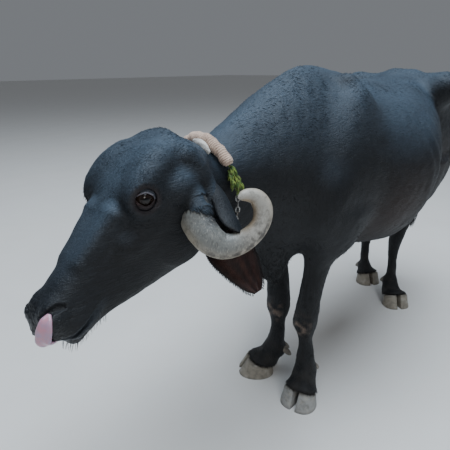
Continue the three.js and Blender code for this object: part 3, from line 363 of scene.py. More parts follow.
def coronet_pad(leg):
    """The swollen band of skin that sits on the claws"""
    long = leg["claw_length"]
    angle = math.radians(leg["heading"])
    back = 0.61 * long
    height = CORONET_HEEL + 0.39 * (CORONET_TOE - CORONET_HEEL)
    pitch = -math.degrees(math.atan2(CORONET_TOE - CORONET_HEEL, long))
    place = (leg["toe"][0] - back * math.cos(angle), leg["toe"][1] - back * math.sin(angle), height)
    return ball(place, (0.365 * long, 0.96 * leg["claw_width"], 0.03), leg["heading"], pitch)


def leg_field(name):
    leg = LEGS[name]
    own = blended(limb_form(leg["path"], leg["girth"], leg["turn"]), [(coronet_pad(leg), 0.03)])
    if name.endswith("fore"):
        return blended(own, [(behind(leg, 0.128, 0.026, (0.042, 0.044, 0.048)), 0.02),
                             (behind(leg, 0.074, 0.032, (0.032, 0.042, 0.034)), 0.02)])
    return blended(own, [(behind(leg, 0.112, 0.02, (0.034, 0.038, 0.04)), 0.02),
                         (behind(leg, 0.066, 0.026, (0.028, 0.038, 0.03)), 0.02), (hock_of(leg), 0.034)])


# Head, in its own frame. Rows as for the trunk
HEAD = [
    (-0.07, -0.13, -0.18, 0.03, 0, 0.5, 2, 2), (-0.03, -0.064, -0.215, 0.074, 0, 0.55, 2.2, 2.1),
    (0.02, -0.014, -0.256, 0.11, 0, 0.6, 2.4, 2.2), (0.08, 0.004, -0.302, 0.12, 0, 0.62, 2.5, 2.3),
    (0.14, 0.01, -0.334, 0.116, 0, 0.64, 2.6, 2.4), (0.2, 0.004, -0.338, 0.106, 0, 0.66, 2.6, 2.5),
    (0.26, -0.012, -0.325, 0.09, 0, 0.66, 2.3, 2.6), (0.32, -0.03, -0.306, 0.078, 0, 0.64, 2.3, 2.6),
    (0.4, -0.048, -0.276, 0.066, 0, 0.6, 2.3, 2.5), (0.47, -0.062, -0.246, 0.061, 0, 0.56, 2.3, 2.4),
    (0.53, -0.078, -0.222, 0.06, 0, 0.54, 2.3, 2.3), (0.572, -0.098, -0.196, 0.054, 0, 0.52, 2.3, 2.2),
    (0.6, -0.122, -0.17, 0.038, 0, 0.5, 2.2, 2.1), (0.61, -0.136, -0.16, 0.02, 0, 0.5, 2, 2),
]
NOSTRIL = [(0.57, 0.03, -0.09), (0.56, 0.045, -0.088), (0.546, 0.052, -0.088), (0.528, 0.054, -0.095),
           (0.519, 0.055, -0.104)]
NOSTRIL_RADII = [0.005, 0.008, 0.009, 0.008, 0.004]
MOUTH = [(0.44, 0.07, -0.172), (0.495, 0.066, -0.182), (0.552, 0.056, -0.182), (0.592, 0.032, -0.172),
         (0.604, 0, -0.166)]
HORN = [
    (0.092, 0.07, -0.084), (0.126, 0.13, -0.146), (0.158, 0.158, -0.178), (0.174, 0.194, -0.211),
    (0.166, 0.218, -0.238), (0.141, 0.243, -0.251), (0.102, 0.268, -0.25), (0.064, 0.28, -0.236),
    (0.038, 0.278, -0.208), (0.034, 0.268, -0.178), (0.048, 0.256, -0.158), (0.072, 0.247, -0.146),
]
HORN_SIZE = curve_of([
    (0, 0.022, 0.018), (0.09, 0.043, 0.034), (0.2, 0.045, 0.034), (0.42, 0.034, 0.028), (0.6, 0.026, 0.025),
    (0.74, 0.026, 0.023), (0.88, 0.019, 0.018), (0.96, 0.013, 0.012), (1, 0.003, 0.003),
])
HORN_EDGE = np.array((0.831, 0.034, -0.556))
HORN_EDGE_AT = 0.2065
RIM = [(0.05, 0.05, -0.042), (0.042, 0.08, -0.058), (0.044, 0.094, -0.1), (0.06, 0.11, -0.15),
       (0.086, 0.135, -0.2)]
RIM_RADII = [0.036, 0.037, 0.035, 0.033, 0.028]
EAR = [(0.04, 0.084, -0.15), (0.062, 0.13, -0.186), (0.102, 0.168, -0.232), (0.14, 0.206, -0.28),
       (0.172, 0.25, -0.33), (0.196, 0.296, -0.372)]


def mirrored(points, side):
    return np.array(points, float) * (1, side, 1)


def eye_frame(side):
    """Centre of the eyeball, the way it looks, the slit from back to front corner, and up to the brow"""
    out = unit((0.3, side * 0.92, 0.24))
    slant = np.array((0.76, 0, 0.65))
    slit = unit(slant - out * (slant @ out))
    brow = -side * unit(np.cross(slit, out))
    return mirrored(EYE_CENTRE, side), out, slit, brow


def horn_facing(side):
    """The way in which the horn's flat face looks"""
    return unit((0.75, side * 0.62, 0.2))


def near_horn(side, grow, keep):
    """The root half of a horn, grown by a little. It is kept up to the slanting line where the skin ends
    (keep 1) or from there on (keep -1)"""
    t = np.linspace(0, 0.36, 10)
    centre = spline(mirrored(HORN, side))(t)
    tangent = unit(np.gradient(centre, axis=0))
    across = unit(np.cross(np.broadcast_to(horn_facing(side) @ HEAD_TURN, tangent.shape), tangent))
    rise = np.cross(tangent, across)
    size = HORN_SIZE(t)[:, 1:] + grow
    middle = centre[5]
    edge = mirrored(HORN_EDGE, side)

    def tube(p):
        value = np.full(len(p), np.inf)
        for k in range(len(t) - 1):
            along = centre[k + 1] - centre[k]
            share = np.clip((p - centre[k]) @ along / (along @ along), 0, 1)[:, None]
            d = p - centre[k] - share * along
            u = (d * (across[k] + (across[k + 1] - across[k]) * share)).sum(1)
            v = (d * (rise[k] + (rise[k + 1] - rise[k]) * share)).sum(1)
            half = size[k] + (size[k + 1] - size[k]) * share
            off = np.abs(d @ tangent[k])
            value = np.minimum(value, section_distance(u, v, half[:, 0], half[:, 1], 2) + off)
        return -smooth_min(-value, keep * (HORN_EDGE_AT - p @ edge), 0.003)

    def field(p):
        away = np.linalg.norm(p - middle, axis=1)
        value = away - 0.1
        close = away < 0.18
        if close.any():
            value[close] = tube(p[close])
        return value

    return field


def arc_round_eye(side, wide, high, out_by, drawn_out=0.0):
    """Places on a half ring over (high > 0) or under the eye's slit, from the front corner to the back"""
    centre, out, slit, brow = eye_frame(side)
    turn = np.linspace(0, math.pi, 17)[:, None]
    along, bow = np.cos(turn), np.sin(turn)
    ahead = wide * along + drawn_out * np.maximum(along, 0) ** 3
    return centre + slit * ahead + brow * high * bow + out * (out_by[0] + (out_by[1] - out_by[0]) * bow)


def eye_folds(side):
    """The bag under the eye and the fold over it"""
    bow = np.sin(np.linspace(0, math.pi, 17))
    bag = arc_round_eye(side, 0.0315, -0.0325, (0.001, 0.003))
    fold = arc_round_eye(side, 0.0355, 0.036, (-0.003, 0.004))
    return [
        (chain_of(bag, (0.005 + 0.0035 * bow).tolist()), 0.012),
        (chain_of(fold, (0.005 + 0.004 * bow).tolist()), 0.012),
    ]


def face_forms(side):
    """Cheek, face ridge, brow, temple, nostril wing and lip on one side, then the hollow and the folds of
    the eye, the nostril, the mouth and the roots of the ear and the horn"""
    orbit = (EYE_CENTRE[0] + 0.013, side * (EYE_CENTRE[1] + 0.034), EYE_CENTRE[2] + 0.004)
    ear_root = mirrored(EAR[:3], side)
    return [
        (chain_of(mirrored(RIM, side), RIM_RADII), 0.03),
        (ball((0.15, side * 0.074, -0.205), (0.12, 0.036, 0.1), side * 6, 14), 0.06),
        (cord((0.15, side * 0.09, -0.096), (0.305, side * 0.072, -0.124), 0.03, 0.02), 0.05),
        (ball((0.18, side * 0.086, -0.018), (0.088, 0.033, 0.038), side * 12, 14), 0.056),
        (cord((0.29, side * 0.04, -0.044), (0.42, side * 0.03, -0.074), 0.022, 0.014), 0.03),
        (ball((0.136, side * 0.1, -0.112), (0.066, 0.044, 0.052), side * -10, 20), 0.036),
        (ball((0.548, side * 0.036, -0.112), (0.038, 0.026, 0.03), side * 20, 20), 0.026),
        (ball((0.5, side * 0.042, -0.172), (0.06, 0.024, 0.034), side * 8, 10), 0.028),
        (ball(orbit, (0.025, 0.04, 0.034), side * 72), -0.016),
        *eye_folds(side),
        (chain_of(mirrored(NOSTRIL, side), NOSTRIL_RADII), -0.006),
        (chain_of(mirrored(MOUTH, side), [0.003, 0.004, 0.0045, 0.0045, 0.0045]), -0.004),
        (chain_of(ear_root, [0.03, 0.032, 0.03]), 0.02),
        (near_horn(side, 0.0042, 1), 0.014),
        (near_horn(side, -0.0023, -1), -0.0015),
    ]


head_whole = blended(trunk_form(HEAD), [
    (ball((0.125, 0, -0.023), (0.125, 0.1, 0.038), 0, 8), 0.04),
    (cord((0.548, 0.012, -0.214), (0.48, 0, -0.222), 0.026, 0.024), 0.03),
    *face_forms(1), *face_forms(-1),
])
head_here = blended(head_whole, [
    (ball(mirrored(EYE_CENTRE, side), [SOCKET_RADIUS] * 3), -0.003) for side in (1, -1)])
NECK_BLEND = 0.035

TAIL = [TAIL_TOP, (-0.9, -0.051, 1.196), (-0.922, -0.052, 1.11), (-0.926, -0.054, 0.94),
        (-0.92, -0.056, 0.78), (-0.914, -0.058, SWITCH_TOP)]
TAIL_RADII = curve_of([(0, 0.034), (0.2, 0.027), (0.5, 0.02), (0.85, 0.016), (1, 0.014)])
tail_steps = np.linspace(0, 1, 16)
tail = chain_of(spline(TAIL)(tail_steps), TAIL_RADII(tail_steps)[:, 1].tolist())

UDDER = (-0.425, HIPS_Y, 0.655)
udder = blended(ball(UDDER, (0.105, 0.07, 0.084), 0, -6), [
    (cord((x, HIPS_Y + side * 0.038, 0.606), (x + 0.004, HIPS_Y + side * 0.046, 0.53), 0.016, 0.008), 0.022)
    for side in (1, -1) for x in (-0.385, -0.458)])
legs = {name: leg_field(name) for name in LEGS}


def near_only(field, low, high, margin=0.12):
    """A field that is worked out only near its box, for speed; farther off it gives a rough distance"""
    low, high = np.array(low), np.array(high)

    def limited(p):
        away = np.linalg.norm(np.maximum(np.maximum(low - p, p - high), 0), axis=1)
        value = away + margin * 0.5
        close = away < margin
        if close.any():
            value[close] = field(p[close])
        return value

    return limited


head = near_only(lambda p: head_here(to_head(p)), (1.0, -0.28, 0.72), (1.74, 0.32, 1.34))
tail = near_only(tail, (-0.96, -0.1, 0.6), (-0.84, 0.0, 1.3))
udder = near_only(udder, (-0.56, -0.13, 0.5), (-0.29, 0.07, 0.76))
for name, leg in LEGS.items():
    path = np.array(leg["path"])
    legs[name] = near_only(legs[name], (path[:, 1].min() - 0.16, path[:, 2].min() - 0.12, -0.05),
                           (path[:, 1].max() + 0.16, path[:, 2].max() + 0.12, 0.98))


def body(p):
    value = smooth_min(trunk(p), head(p), NECK_BLEND)
    for leg in legs.values():
        value = smooth_min(value, leg(p), LEG_BLEND)
    value = smooth_min(value, udder(p), 0.03)
    return smooth_min(value, tail(p), 0.012)


def skin_field(p):
    return body(p) + SKIN_DEPTH


def in_parts(field, places, size=150000):
    if len(places) <= size:
        return field(places)
    return np.concatenate([field(places[i:i + size]) for i in range(0, len(places), size)])


# A net laid on a field
def slope_of(field, places, step=0.0004):
    axes = np.eye(3) * step
    return np.stack([(field(places + a) - field(places - a)) / (2 * step) for a in axes], -1)


def settled(field, places, reach, rounds=2):
    """Moves places along the slope of a field until they lie on its surface"""
    for _ in range(rounds):
        slope = slope_of(field, places)
        move = -field(places) / np.maximum((slope**2).sum(1), 0.05)
        places = places + slope * np.clip(move, -reach, reach)[:, None]
    return places


def lay_net(field, low, high, coarse, split):
    """Quads that follow the surface of a field, first found on a coarse grid and then on a fine one"""
    low, high = np.array(low), np.array(high)
    steps = np.ceil((high - low) / coarse).astype(int)
    axes = [low[k] + coarse * np.arange(steps[k] + 1) for k in range(3)]
    rough = in_parts(field, np.stack(np.meshgrid(*axes, indexing="ij"), -1).reshape(-1, 3))
    rough = rough.reshape(steps + 1)
    near = np.abs(rough) < 1.4 * coarse
    cells = np.zeros(steps, bool)
    for corner in range(8):
        i, j, k = corner & 1, corner >> 1 & 1, corner >> 2
        cells |= near[i:i + steps[0], j:j + steps[1], k:k + steps[2]]
    close = np.zeros(steps * split + 1, bool)
    close[:-1, :-1, :-1] = cells.repeat(split, 0).repeat(split, 1).repeat(split, 2)
    for axis in range(3):
        close |= np.roll(close, 1, axis)
    size = steps * split + 1
    values = rough.astype(np.float32).repeat(split, 0).repeat(split, 1).repeat(split, 2)
    values = values[:size[0], :size[1], :size[2]].copy()
    cell = coarse / split
    at = np.argwhere(close)
    values[close] = in_parts(field, low + at * cell)
    inside = values < 0
    count = sum(inside[i:size[0] - 1 + i, j:size[1] - 1 + j, k:size[2] - 1 + k].astype(np.uint8)
                for i in (0, 1) for j in (0, 1) for k in (0, 1))
    crossed = (count > 0) & (count < 8)
    number = np.full(crossed.shape, -1, np.int32)
    number[crossed] = np.arange(crossed.sum())
    total = np.zeros((crossed.sum(), 3))
    hits = np.zeros(crossed.sum())
    quads = []
    for axis in range(3):
        ahead = [slice(None)] * 3
        here = [slice(None)] * 3
        ahead[axis] = slice(1, None)
        here[axis] = slice(None, -1)
        edges = np.argwhere(inside[tuple(ahead)] != inside[tuple(here)])
        others = [k for k in range(3) if k != axis]
        edges = edges[((edges[:, others] > 0) & (edges[:, others] < size[others] - 1)).all(1)]
        first = values[tuple(edges.T)]
        step = np.eye(3, dtype=int)[axis]
        second = values[tuple((edges + step).T)]
        crossing = edges + step * (first / (first - second))[:, None]
        ring = []
        for a, b in ((1, 1), (0, 1), (0, 0), (1, 0)):
            back = np.zeros(3, int)
            back[others[0]], back[others[1]] = a, b
            ids = number[tuple((edges - back).T)]
            ring.append(ids)
            hits += np.bincount(ids, minlength=len(hits))
            for k in range(3):
                total[:, k] += np.bincount(ids, crossing[:, k], minlength=len(hits))
        ring = np.stack(ring, 1)
        turned = (first >= 0) != (axis == 1)
        ring[turned] = ring[turned][:, ::-1]
        quads.append(ring)
    return low + total / hits[:, None] * cell, np.concatenate(quads)


def relaxed(field, places, quads, reach, rounds):
    """Spreads the corners of a net evenly over its surface"""
    edges = np.unique(np.sort(np.concatenate([quads[:, [k, (k + 1) % 4]] for k in range(4)]), 1), axis=0)
    degree = np.bincount(edges.ravel(), minlength=len(places))[:, None]
    for _ in range(rounds):
        total = np.zeros_like(places)
        for k in range(3):
            total[:, k] = np.bincount(edges[:, 0], places[edges[:, 1], k], minlength=len(places))
            total[:, k] += np.bincount(edges[:, 1], places[edges[:, 0], k], minlength=len(places))
        places = places + 0.6 * (total / np.maximum(degree, 1) - places)
        places = in_parts(lambda p: settled(field, p, reach, 1), places)
    return places


def split_quads(places, quads, chosen):
    """Cuts the chosen quads in four. Their neighbours take the new corners on shared edges as they are"""
    base = len(places)
    pairs = np.sort(np.concatenate([quads[chosen][:, [k, (k + 1) % 4]] for k in range(4)]), 1)
    keys, back = np.unique(pairs[:, 0].astype(np.int64) * base + pairs[:, 1], return_inverse=True)
    middles = (places[keys // base] + places[keys % base]) / 2
    centres = places[quads[chosen]].mean(1)
    n = int(chosen.sum())
    edge = (base + back).reshape(4, n)
    centre = base + len(keys) + np.arange(n)
    corner = quads[chosen].T
    fine = np.concatenate([np.stack([corner[k], edge[k], centre, edge[k - 1]], 1) for k in range(4)])
    rest = quads[~chosen]
    rest_pairs = np.sort(np.stack([rest, np.roll(rest, -1, 1)], -1), -1)
    rest_keys = rest_pairs[..., 0].astype(np.int64) * base + rest_pairs[..., 1]
    spot = np.clip(np.searchsorted(keys, rest_keys), 0, len(keys) - 1)
    shared = keys[spot] == rest_keys
    plain = ~shared.any(1)
    many = []
    for ring, spots, marks in zip(rest[~plain], spot[~plain], shared[~plain]):
        loop = []
        for k in range(4):
            loop.append(int(ring[k]))
            if marks[k]:
                loop.append(int(base + spots[k]))
        many.append(loop)
    return np.concatenate([places, middles, centres]), np.concatenate([rest[plain], fine]), many


def mesh_object(name, places, faces, material):
    """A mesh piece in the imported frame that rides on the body. Faces are lists or an array of corners"""
    mesh = bpy.data.meshes.new(name)
    if isinstance(faces, np.ndarray):
        width = faces.shape[1]
        mesh.vertices.add(len(places))
        mesh.vertices.foreach_set("co", (places + SHIFT).astype(np.float32).ravel())
        mesh.loops.add(faces.size)
        mesh.loops.foreach_set("vertex_index", faces.astype(np.int32).ravel())
        mesh.polygons.add(len(faces))
        mesh.polygons.foreach_set("loop_start", np.arange(len(faces), dtype=np.int32) * width)
        mesh.update(calc_edges=True)
        mesh.validate()
    else:
        mesh.from_pydata((np.asarray(places) + SHIFT).tolist(), [], faces)
    mesh.polygons.foreach_set("use_smooth", [True] * len(mesh.polygons))
    mesh.update()
    mesh.materials.append(material)
    piece = bpy.data.objects.new(name, mesh)
    bpy.context.scene.collection.objects.link(piece)
    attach(piece, "root")
    return piece


# Finishes: small node materials
class Finish:
    """A node material. Each method adds a node and gives back its output"""

    def __init__(self, name, **sockets):
        self.material = bpy.data.materials.new(name)
        self.material.use_nodes = True
        self.nodes = self.material.node_tree.nodes
        self.links = self.material.node_tree.links
        self.shader = self.nodes["Principled BSDF"]
        for socket, value in sockets.items():
            self.shader.inputs[socket.replace("_", " ")].default_value = value

    def set(self, socket, value):
        if hasattr(value, "is_output"):
            self.links.new(value, socket)
        else:
            socket.default_value = value

    def place(self, stretch=(1, 1, 1), turn=(0, 0, 0)):
        coordinates = self.nodes.new("ShaderNodeTexCoord")
        mapping = self.nodes.new("ShaderNodeMapping")
        mapping.inputs["Scale"].default_value = stretch
        mapping.inputs["Rotation"].default_value = [math.radians(angle) for angle in turn]
        self.links.new(coordinates.outputs["Object"], mapping.inputs["Vector"])
        return mapping.outputs["Vector"]

    def attribute(self, name, output="Color"):
        node = self.nodes.new("ShaderNodeAttribute")
        node.attribute_name = name
        return node.outputs[output]

    def noise(self, vector, scale, detail=4, roughness=0.55, distortion=0):
        node = self.nodes.new("ShaderNodeTexNoise")
        self.links.new(vector, node.inputs["Vector"])
        for socket, value in (("Scale", scale), ("Detail", detail), ("Roughness", roughness),
                              ("Distortion", distortion)):
            node.inputs[socket].default_value = value
        return node.outputs["Fac"]

    def cracks(self, vector, scale):
        node = self.nodes.new("ShaderNodeTexVoronoi")
        node.feature = "DISTANCE_TO_EDGE"
        self.links.new(vector, node.inputs["Vector"])
        node.inputs["Scale"].default_value = scale
        return node.outputs["Distance"]

    def spread(self, value, low, high, start=0.0, end=1.0):
        node = self.nodes.new("ShaderNodeMapRange")
        self.set(node.inputs["Value"], value)
        for socket, number in (("From Min", low), ("From Max", high), ("To Min", start), ("To Max", end)):
            node.inputs[socket].default_value = number
        return node.outputs["Result"]

    def combine(self, a, b, operation="ADD"):
        node = self.nodes.new("ShaderNodeMath")
        node.operation = operation
        self.set(node.inputs[0], a)
        self.set(node.inputs[1], b)
        return node.outputs[0]

    def mix(self, a, b, factor, blend="MIX"):
        node = self.nodes.new("ShaderNodeMix")
        node.data_type = "RGBA"
        node.blend_type = blend
        self.set(node.inputs["Factor"], factor)
        self.set(node.inputs["A"], a)
        self.set(node.inputs["B"], b)
        return node.outputs["Result"]

    def bump(self, height, distance, strength=1.0, under=None):
        node = self.nodes.new("ShaderNodeBump")
        node.inputs["Strength"].default_value = strength
        node.inputs["Distance"].default_value = distance
        self.links.new(height, node.inputs["Height"])
        if under is not None:
            self.links.new(under, node.inputs["Normal"])
        return node.outputs["Normal"]

    def finish(self, color, roughness=None, normal=None):
        self.set(self.shader.inputs["Base Color"], color)
        if roughness is not None:
            self.set(self.shader.inputs["Roughness"], roughness)
        if normal is not None:
            self.links.new(normal, self.shader.inputs["Normal"])
        return self.material


def hide_finish():
    """Dark short-haired hide: a tone of marks with painted sky sheen and painted nostril shade, hair
    streaks, fine creases and a little dust
    """
    f = Finish("hide", Specular_IOR_Level=0.27, Sheen_Weight=0.02, Sheen_Roughness=0.4,
               Sheen_Tint=(0.5, 0.7, 0.95, 1))
    down = f.attribute("down", "Fac")
    fine_back = f.noise(f.place((30, 260, 260)), 1, 5, 0.6, 0.3)
    fine_down = f.noise(f.place((260, 260, 36)), 1, 5, 0.6, 0.3)
    fine = f.spread(f.mix(fine_back, fine_down, down), 0.3, 0.7)
    locks_back = f.noise(f.place((9, 80, 80)), 1, 4, 0.62, 0.5)
    locks_down = f.noise(f.place((80, 80, 10)), 1, 4, 0.62, 0.5)
    locks = f.spread(f.mix(locks_back, locks_down, down), 0.36, 0.68)
    cloud = f.noise(f.place(), 5.5, 5, 0.6)
    creases = f.spread(f.cracks(f.place((90, 90, 60)), 1), 0.0, 0.16)
    tone = f.mix(f.attribute("tone"), (0.3, 0.27, 0.25, 1), f.spread(cloud, 0.4, 0.75, 0.0, 0.01))
    tone = f.mix(tone, (0.04, 0.052, 0.068, 1), f.spread(locks, 0.0, 1.0, 0.0, 0.13))
    tone = f.mix((0, 0, 0, 1), tone, f.spread(fine, 0.0, 1.0, 0.55, 1.0))
    rough = f.combine(f.spread(cloud, 0.3, 0.7, 0.46, 0.6), f.spread(fine, 0, 1, 0.08, -0.05))
    rough = f.combine(rough, f.attribute("wet", "Fac"), "SUBTRACT")
    normal = f.bump(creases, 0.0008, 0.3)
    normal = f.bump(locks, 0.0022, 0.35, normal)
    normal = f.bump(fine, 0.0015, 0.75, normal)
    return f.finish(tone, rough, normal)


def coat_finish():
    """Locks of hair: the tone of their root, a little darker in streaks"""
    f = Finish("coat", Roughness=0.55, Specular_IOR_Level=0.24, Sheen_Weight=0.03, Sheen_Roughness=0.4)
    streak = f.noise(f.place((420, 420, 90)), 1, 3)
    return f.finish(f.mix((0, 0, 0, 1), f.attribute("tone"), f.spread(streak, 0.3, 0.7, 0.7, 1.0)))


def horn_finish():
    f = Finish("horn", Roughness=0.5, Coat_Weight=0.1, Coat_Roughness=0.3)
    growth = f.noise(f.place((1, 1, 1)), 60, 7, 0.68, 0.8)
    grain = f.noise(f.place((300, 300, 90), (30, 20, 0)), 1, 5, 0.65)
    tone = f.mix(f.attribute("tone"), (0.035, 0.03, 0.025, 1), f.spread(growth, 0.48, 0.68, 0, 0.55))
    tone = f.mix(tone, (0.5, 0.47, 0.42, 1), f.spread(grain, 0.52, 0.72, 0, 0.45))
    rough = f.spread(growth, 0.3, 0.7, 0.36, 0.6)
    normal = f.bump(growth, 0.0018, 0.6, f.bump(grain, 0.0008, 0.5))
    return f.finish(tone, rough, normal)


def claw_finish():
    f = Finish("claw", Roughness=0.6)
    rings = f.noise(f.place((12, 12, 260)), 1, 3, 0.5, 0.4)
    dirt = f.noise(f.place(), 38, 5, 0.65)
    tone = f.mix(f.attribute("tone"), (0.06, 0.05, 0.04, 1), f.spread(dirt, 0.48, 0.72, 0, 0.6))
    tone = f.mix(tone, (0.3, 0.27, 0.22, 1), f.spread(rings, 0.5, 0.7, 0, 0.35))
    return f.finish(tone, f.spread(dirt, 0.3, 0.7, 0.5, 0.72), f.bump(rings, 0.0016, 0.6))


def eye_finish():
    f = Finish("eye", Roughness=0.05, IOR=1.36, Coat_Weight=0.2, Coat_Roughness=0.02)
    grain = f.spread(f.noise(f.place(), 900, 2), 0.4, 0.7, 0, 0.4)
    return f.finish(f.mix(f.attribute("tone"), (0, 0, 0, 1), grain))


def tongue_finish():
    f = Finish("tongue", Roughness=0.34, Coat_Weight=0.35, Coat_Roughness=0.2, Subsurface_Weight=0.12,
               Subsurface_Scale=0.004)
    buds = f.noise(f.place(), 900, 2)
    patches = f.noise(f.place(), 55, 4)
    tone = f.mix((0.52, 0.25, 0.32, 1), (0.4, 0.28, 0.4, 1), f.spread(patches, 0.35, 0.65))
    return f.finish(tone, f.spread(patches, 0.3, 0.7, 0.28, 0.42), f.bump(buds, 0.0007, 0.6))


def rope_finish(name, color, dark):
    f = Finish(name, Roughness=0.9, Sheen_Weight=0.2)
    fibres = f.noise(f.place((500, 500, 160), (0, 40, 20)), 1, 4, 0.6)
    soil = f.noise(f.place(), 34, 5, 0.6)
    tone = f.mix(color, dark, f.spread(soil, 0.45, 0.75, 0, 0.75))
    tone = f.mix((0, 0, 0, 1), tone, f.spread(fibres, 0.3, 0.6, 0.6, 1))
    return f.finish(tone, f.spread(soil, 0.3, 0.7, 0.8, 0.95), f.bump(fibres, 0.001, 0.8))


def fibre_finish():
    f = Finish("fibres", Roughness=0.75)
    patches = f.noise(f.place(), 75, 5)
    tone = f.mix((0.035, 0.085, 0.012, 1), (0.2, 0.27, 0.05, 1), f.spread(patches, 0.42, 0.62))
    tone = f.mix(tone, (0.07, 0.03, 0.02, 1), f.spread(f.noise(f.place(), 130, 3), 0.56, 0.66, 0, 0.8))
    veins = f.noise(f.place((700, 700, 60)), 1, 2)
    return f.finish(tone, f.spread(patches, 0.3, 0.7, 0.65, 0.85), f.bump(veins, 0.0006, 0.6))


def steel_finish():
    f = Finish("steel", Metallic=0.9, Roughness=0.4)
    rust = f.noise(f.place(), 130, 5, 0.65)
    tone = f.mix((0.34, 0.34, 0.33, 1), (0.09, 0.055, 0.035, 1), f.spread(rust, 0.45, 0.68))
    return f.finish(tone, f.spread(rust, 0.4, 0.7, 0.3, 0.7), f.bump(rust, 0.0005, 0.6))


def floor_finish():
    f = Finish("floor", Roughness=0.8)
    grain = f.noise(f.place(), 3, 4)
    return f.finish(f.mix((0.7, 0.69, 0.67, 1), (0.76, 0.75, 0.73, 1), grain), 0.8,
                    f.bump(f.noise(f.place(), 140, 3), 0.0006, 0.3))


# Waves: a smooth noise from a few sines, the same each run
SINES = 9


def waves(places, length, seed):
    draw = np.random.default_rng(seed)
    way = unit(draw.normal(size=(SINES, 3)))
    way = way * (2 * math.pi / (length * draw.uniform(0.7, 1.5, SINES)))[:, None]
    return np.sin(places @ way.T + draw.uniform(0, 2 * math.pi, SINES)).sum(1) / math.sqrt(SINES)


def bell(value, centre, width):
    return np.exp(-((value - centre) / width) ** 2)


RIB_STEP = 0.082
LAST_RIB_X = -0.2


def creased(phase):
    """Flat ridges parted by narrow valleys, one for each whole step of the phase"""
    return -(1 - np.abs(np.sin(phase * math.pi))) ** 2


def relief(p):
    """How far the skin stands out from the plain forms: ribs, hollows, folds and creases"""
    x, y, z = p.T
    q = to_head(p)
    on_head = smooth(q[:, 0], -0.03, 0.06) * (z > HEAD_LOWEST)
    on_trunk = (1 - on_head) * smooth(z, 0.5, 0.62)
    aside = smooth(np.abs(y), 0.08, 0.2)
    drop = np.clip((1.31 - z) / 0.72, 0, 1)
    rib_x = x + 0.16 * np.sin(drop * math.pi * 0.75)
    band = smooth(rib_x, LAST_RIB_X - 0.04, LAST_RIB_X + 0.05) * (1 - smooth(rib_x, 0.14, 0.3))
    level = smooth(z, 0.74, 0.95) * (1 - smooth(z, 1.18, 1.28))
    rib_phase = (rib_x - LAST_RIB_X + 0.006 * waves(p, 0.5, 2)) * 2 * math.pi / RIB_STEP
    strength = 0.7 + 0.35 * waves(p, 0.45, 4)
    out = 0.0034 * np.cos(rib_phase) * band * level * aside * on_trunk * strength
    out -= 0.014 * bell(rib_x, LAST_RIB_X - 0.085, 0.06) * bell(z, 1.17, 0.1) * aside * on_trunk
    out -= 0.004 * bell(x, 0.31 + 0.1 * (z - 1.0), 0.04) * bell(z, 0.98, 0.17) * aside * on_trunk
    out += 0.004 * bell(x, 0.4 + 0.14 * (z - 1.1), 0.022) * bell(z, 1.19, 0.12) * aside * on_trunk
    out += 0.0035 * bell(x, 0.5 - 0.9 * (z - 1.0), 0.05) * bell(z, 0.96, 0.12) * aside * on_trunk
    throat = creased((x + 0.45 * z + 0.02 * waves(p, 0.22, 3)) / 0.05)
    out += 0.0022 * throat * bell(x, 0.86, 0.16) * (1 - smooth(z, 0.95, 1.12)) * on_trunk
    brisket = creased((y * 1.2 + 0.25 * x + 0.03 * waves(p, 0.2, 5)) / 0.055)
    out += 0.003 * brisket * bell(x, 0.66, 0.09) * (1 - smooth(z, 0.74, 0.86)) * smooth(z, 0.55, 0.62)
    elbow = creased((z + 0.5 * x + 0.014 * waves(p, 0.12, 6)) / 0.036)
    out += 0.002 * elbow * bell(x, 0.4, 0.08) * bell(z, 0.74, 0.06) * aside
    stifle = creased((x * 0.8 - 0.6 * z + 0.02 * waves(p, 0.18, 7)) / 0.06)
    out += 0.0025 * stifle * bell(x, -0.34, 0.08) * bell(z, 0.8, 0.12) * aside
    low_leg = 1 - smooth(z, 0.45, 0.55)
    knee = creased((z + 0.006 * waves(p, 0.06, 8)) / 0.015)
    out += 0.0012 * knee * bell(z, 0.345, 0.04) * low_leg
    fetlock = creased((z + 0.006 * waves(p, 0.05, 9)) / 0.014)
    out += 0.0013 * fetlock * bell(z, 0.13, 0.035) * low_leg
    out += (0.0022 * waves(p, 0.2, 10) + 0.0006 * waves(p, 0.05, 11)) * on_trunk
    out += 0.0008 * waves(p, 0.05, 16) * low_leg
    out -= 0.0095 * bell(x, 0.447, 0.14) * smooth(z, 1.33, 1.39)
    return out + face_relief(q) * on_head


def face_relief(q):
    """Creases above the eyes, on the muzzle and behind the corner of the mouth"""
    out = 0.0005 * waves(q, 0.04, 12)
    for side in (1, -1):
        centre, _, slit, brow = eye_frame(side)
        d = q - centre
        near = np.linalg.norm(d, axis=1)
        up = d @ brow / np.maximum(near, 1e-6)
        same = np.sign(q[:, 1]) == side
        aft = np.abs(d @ slit) * (d @ slit < 0)
        rings = creased((near + 0.1 * aft + 0.003 * waves(q, 0.045, 13)) / 0.0085)
        reach = smooth(near, 0.04, 0.05) * (1 - smooth(near, 0.07, 0.1))
        out += 0.0017 * rings * smooth(up, 0.2, 0.75) * reach * same * (0.75 + 0.35 * waves(q, 0.05, 17))
        bag = creased((near + 0.002 * waves(q, 0.04, 18)) / 0.0065)
        out += 0.0008 * bag * smooth(-up, 0.3, 0.8) * bell(near, 0.044, 0.009) * same
    muzzle = smooth(q[:, 0], 0.5, 0.55)
    out += 0.0006 * waves(q, 0.011, 14) * muzzle
    out -= 0.0035 * smooth(q[:, 0], 0.585, 0.61)
    lips = creased((q[:, 0] + 0.5 * q[:, 2] + 0.004 * waves(q, 0.04, 15)) / 0.012)
    out += 0.001 * lips * bell(q[:, 2], -0.19, 0.02) * smooth(q[:, 0], 0.4, 0.46) * (1 - muzzle)
    return out


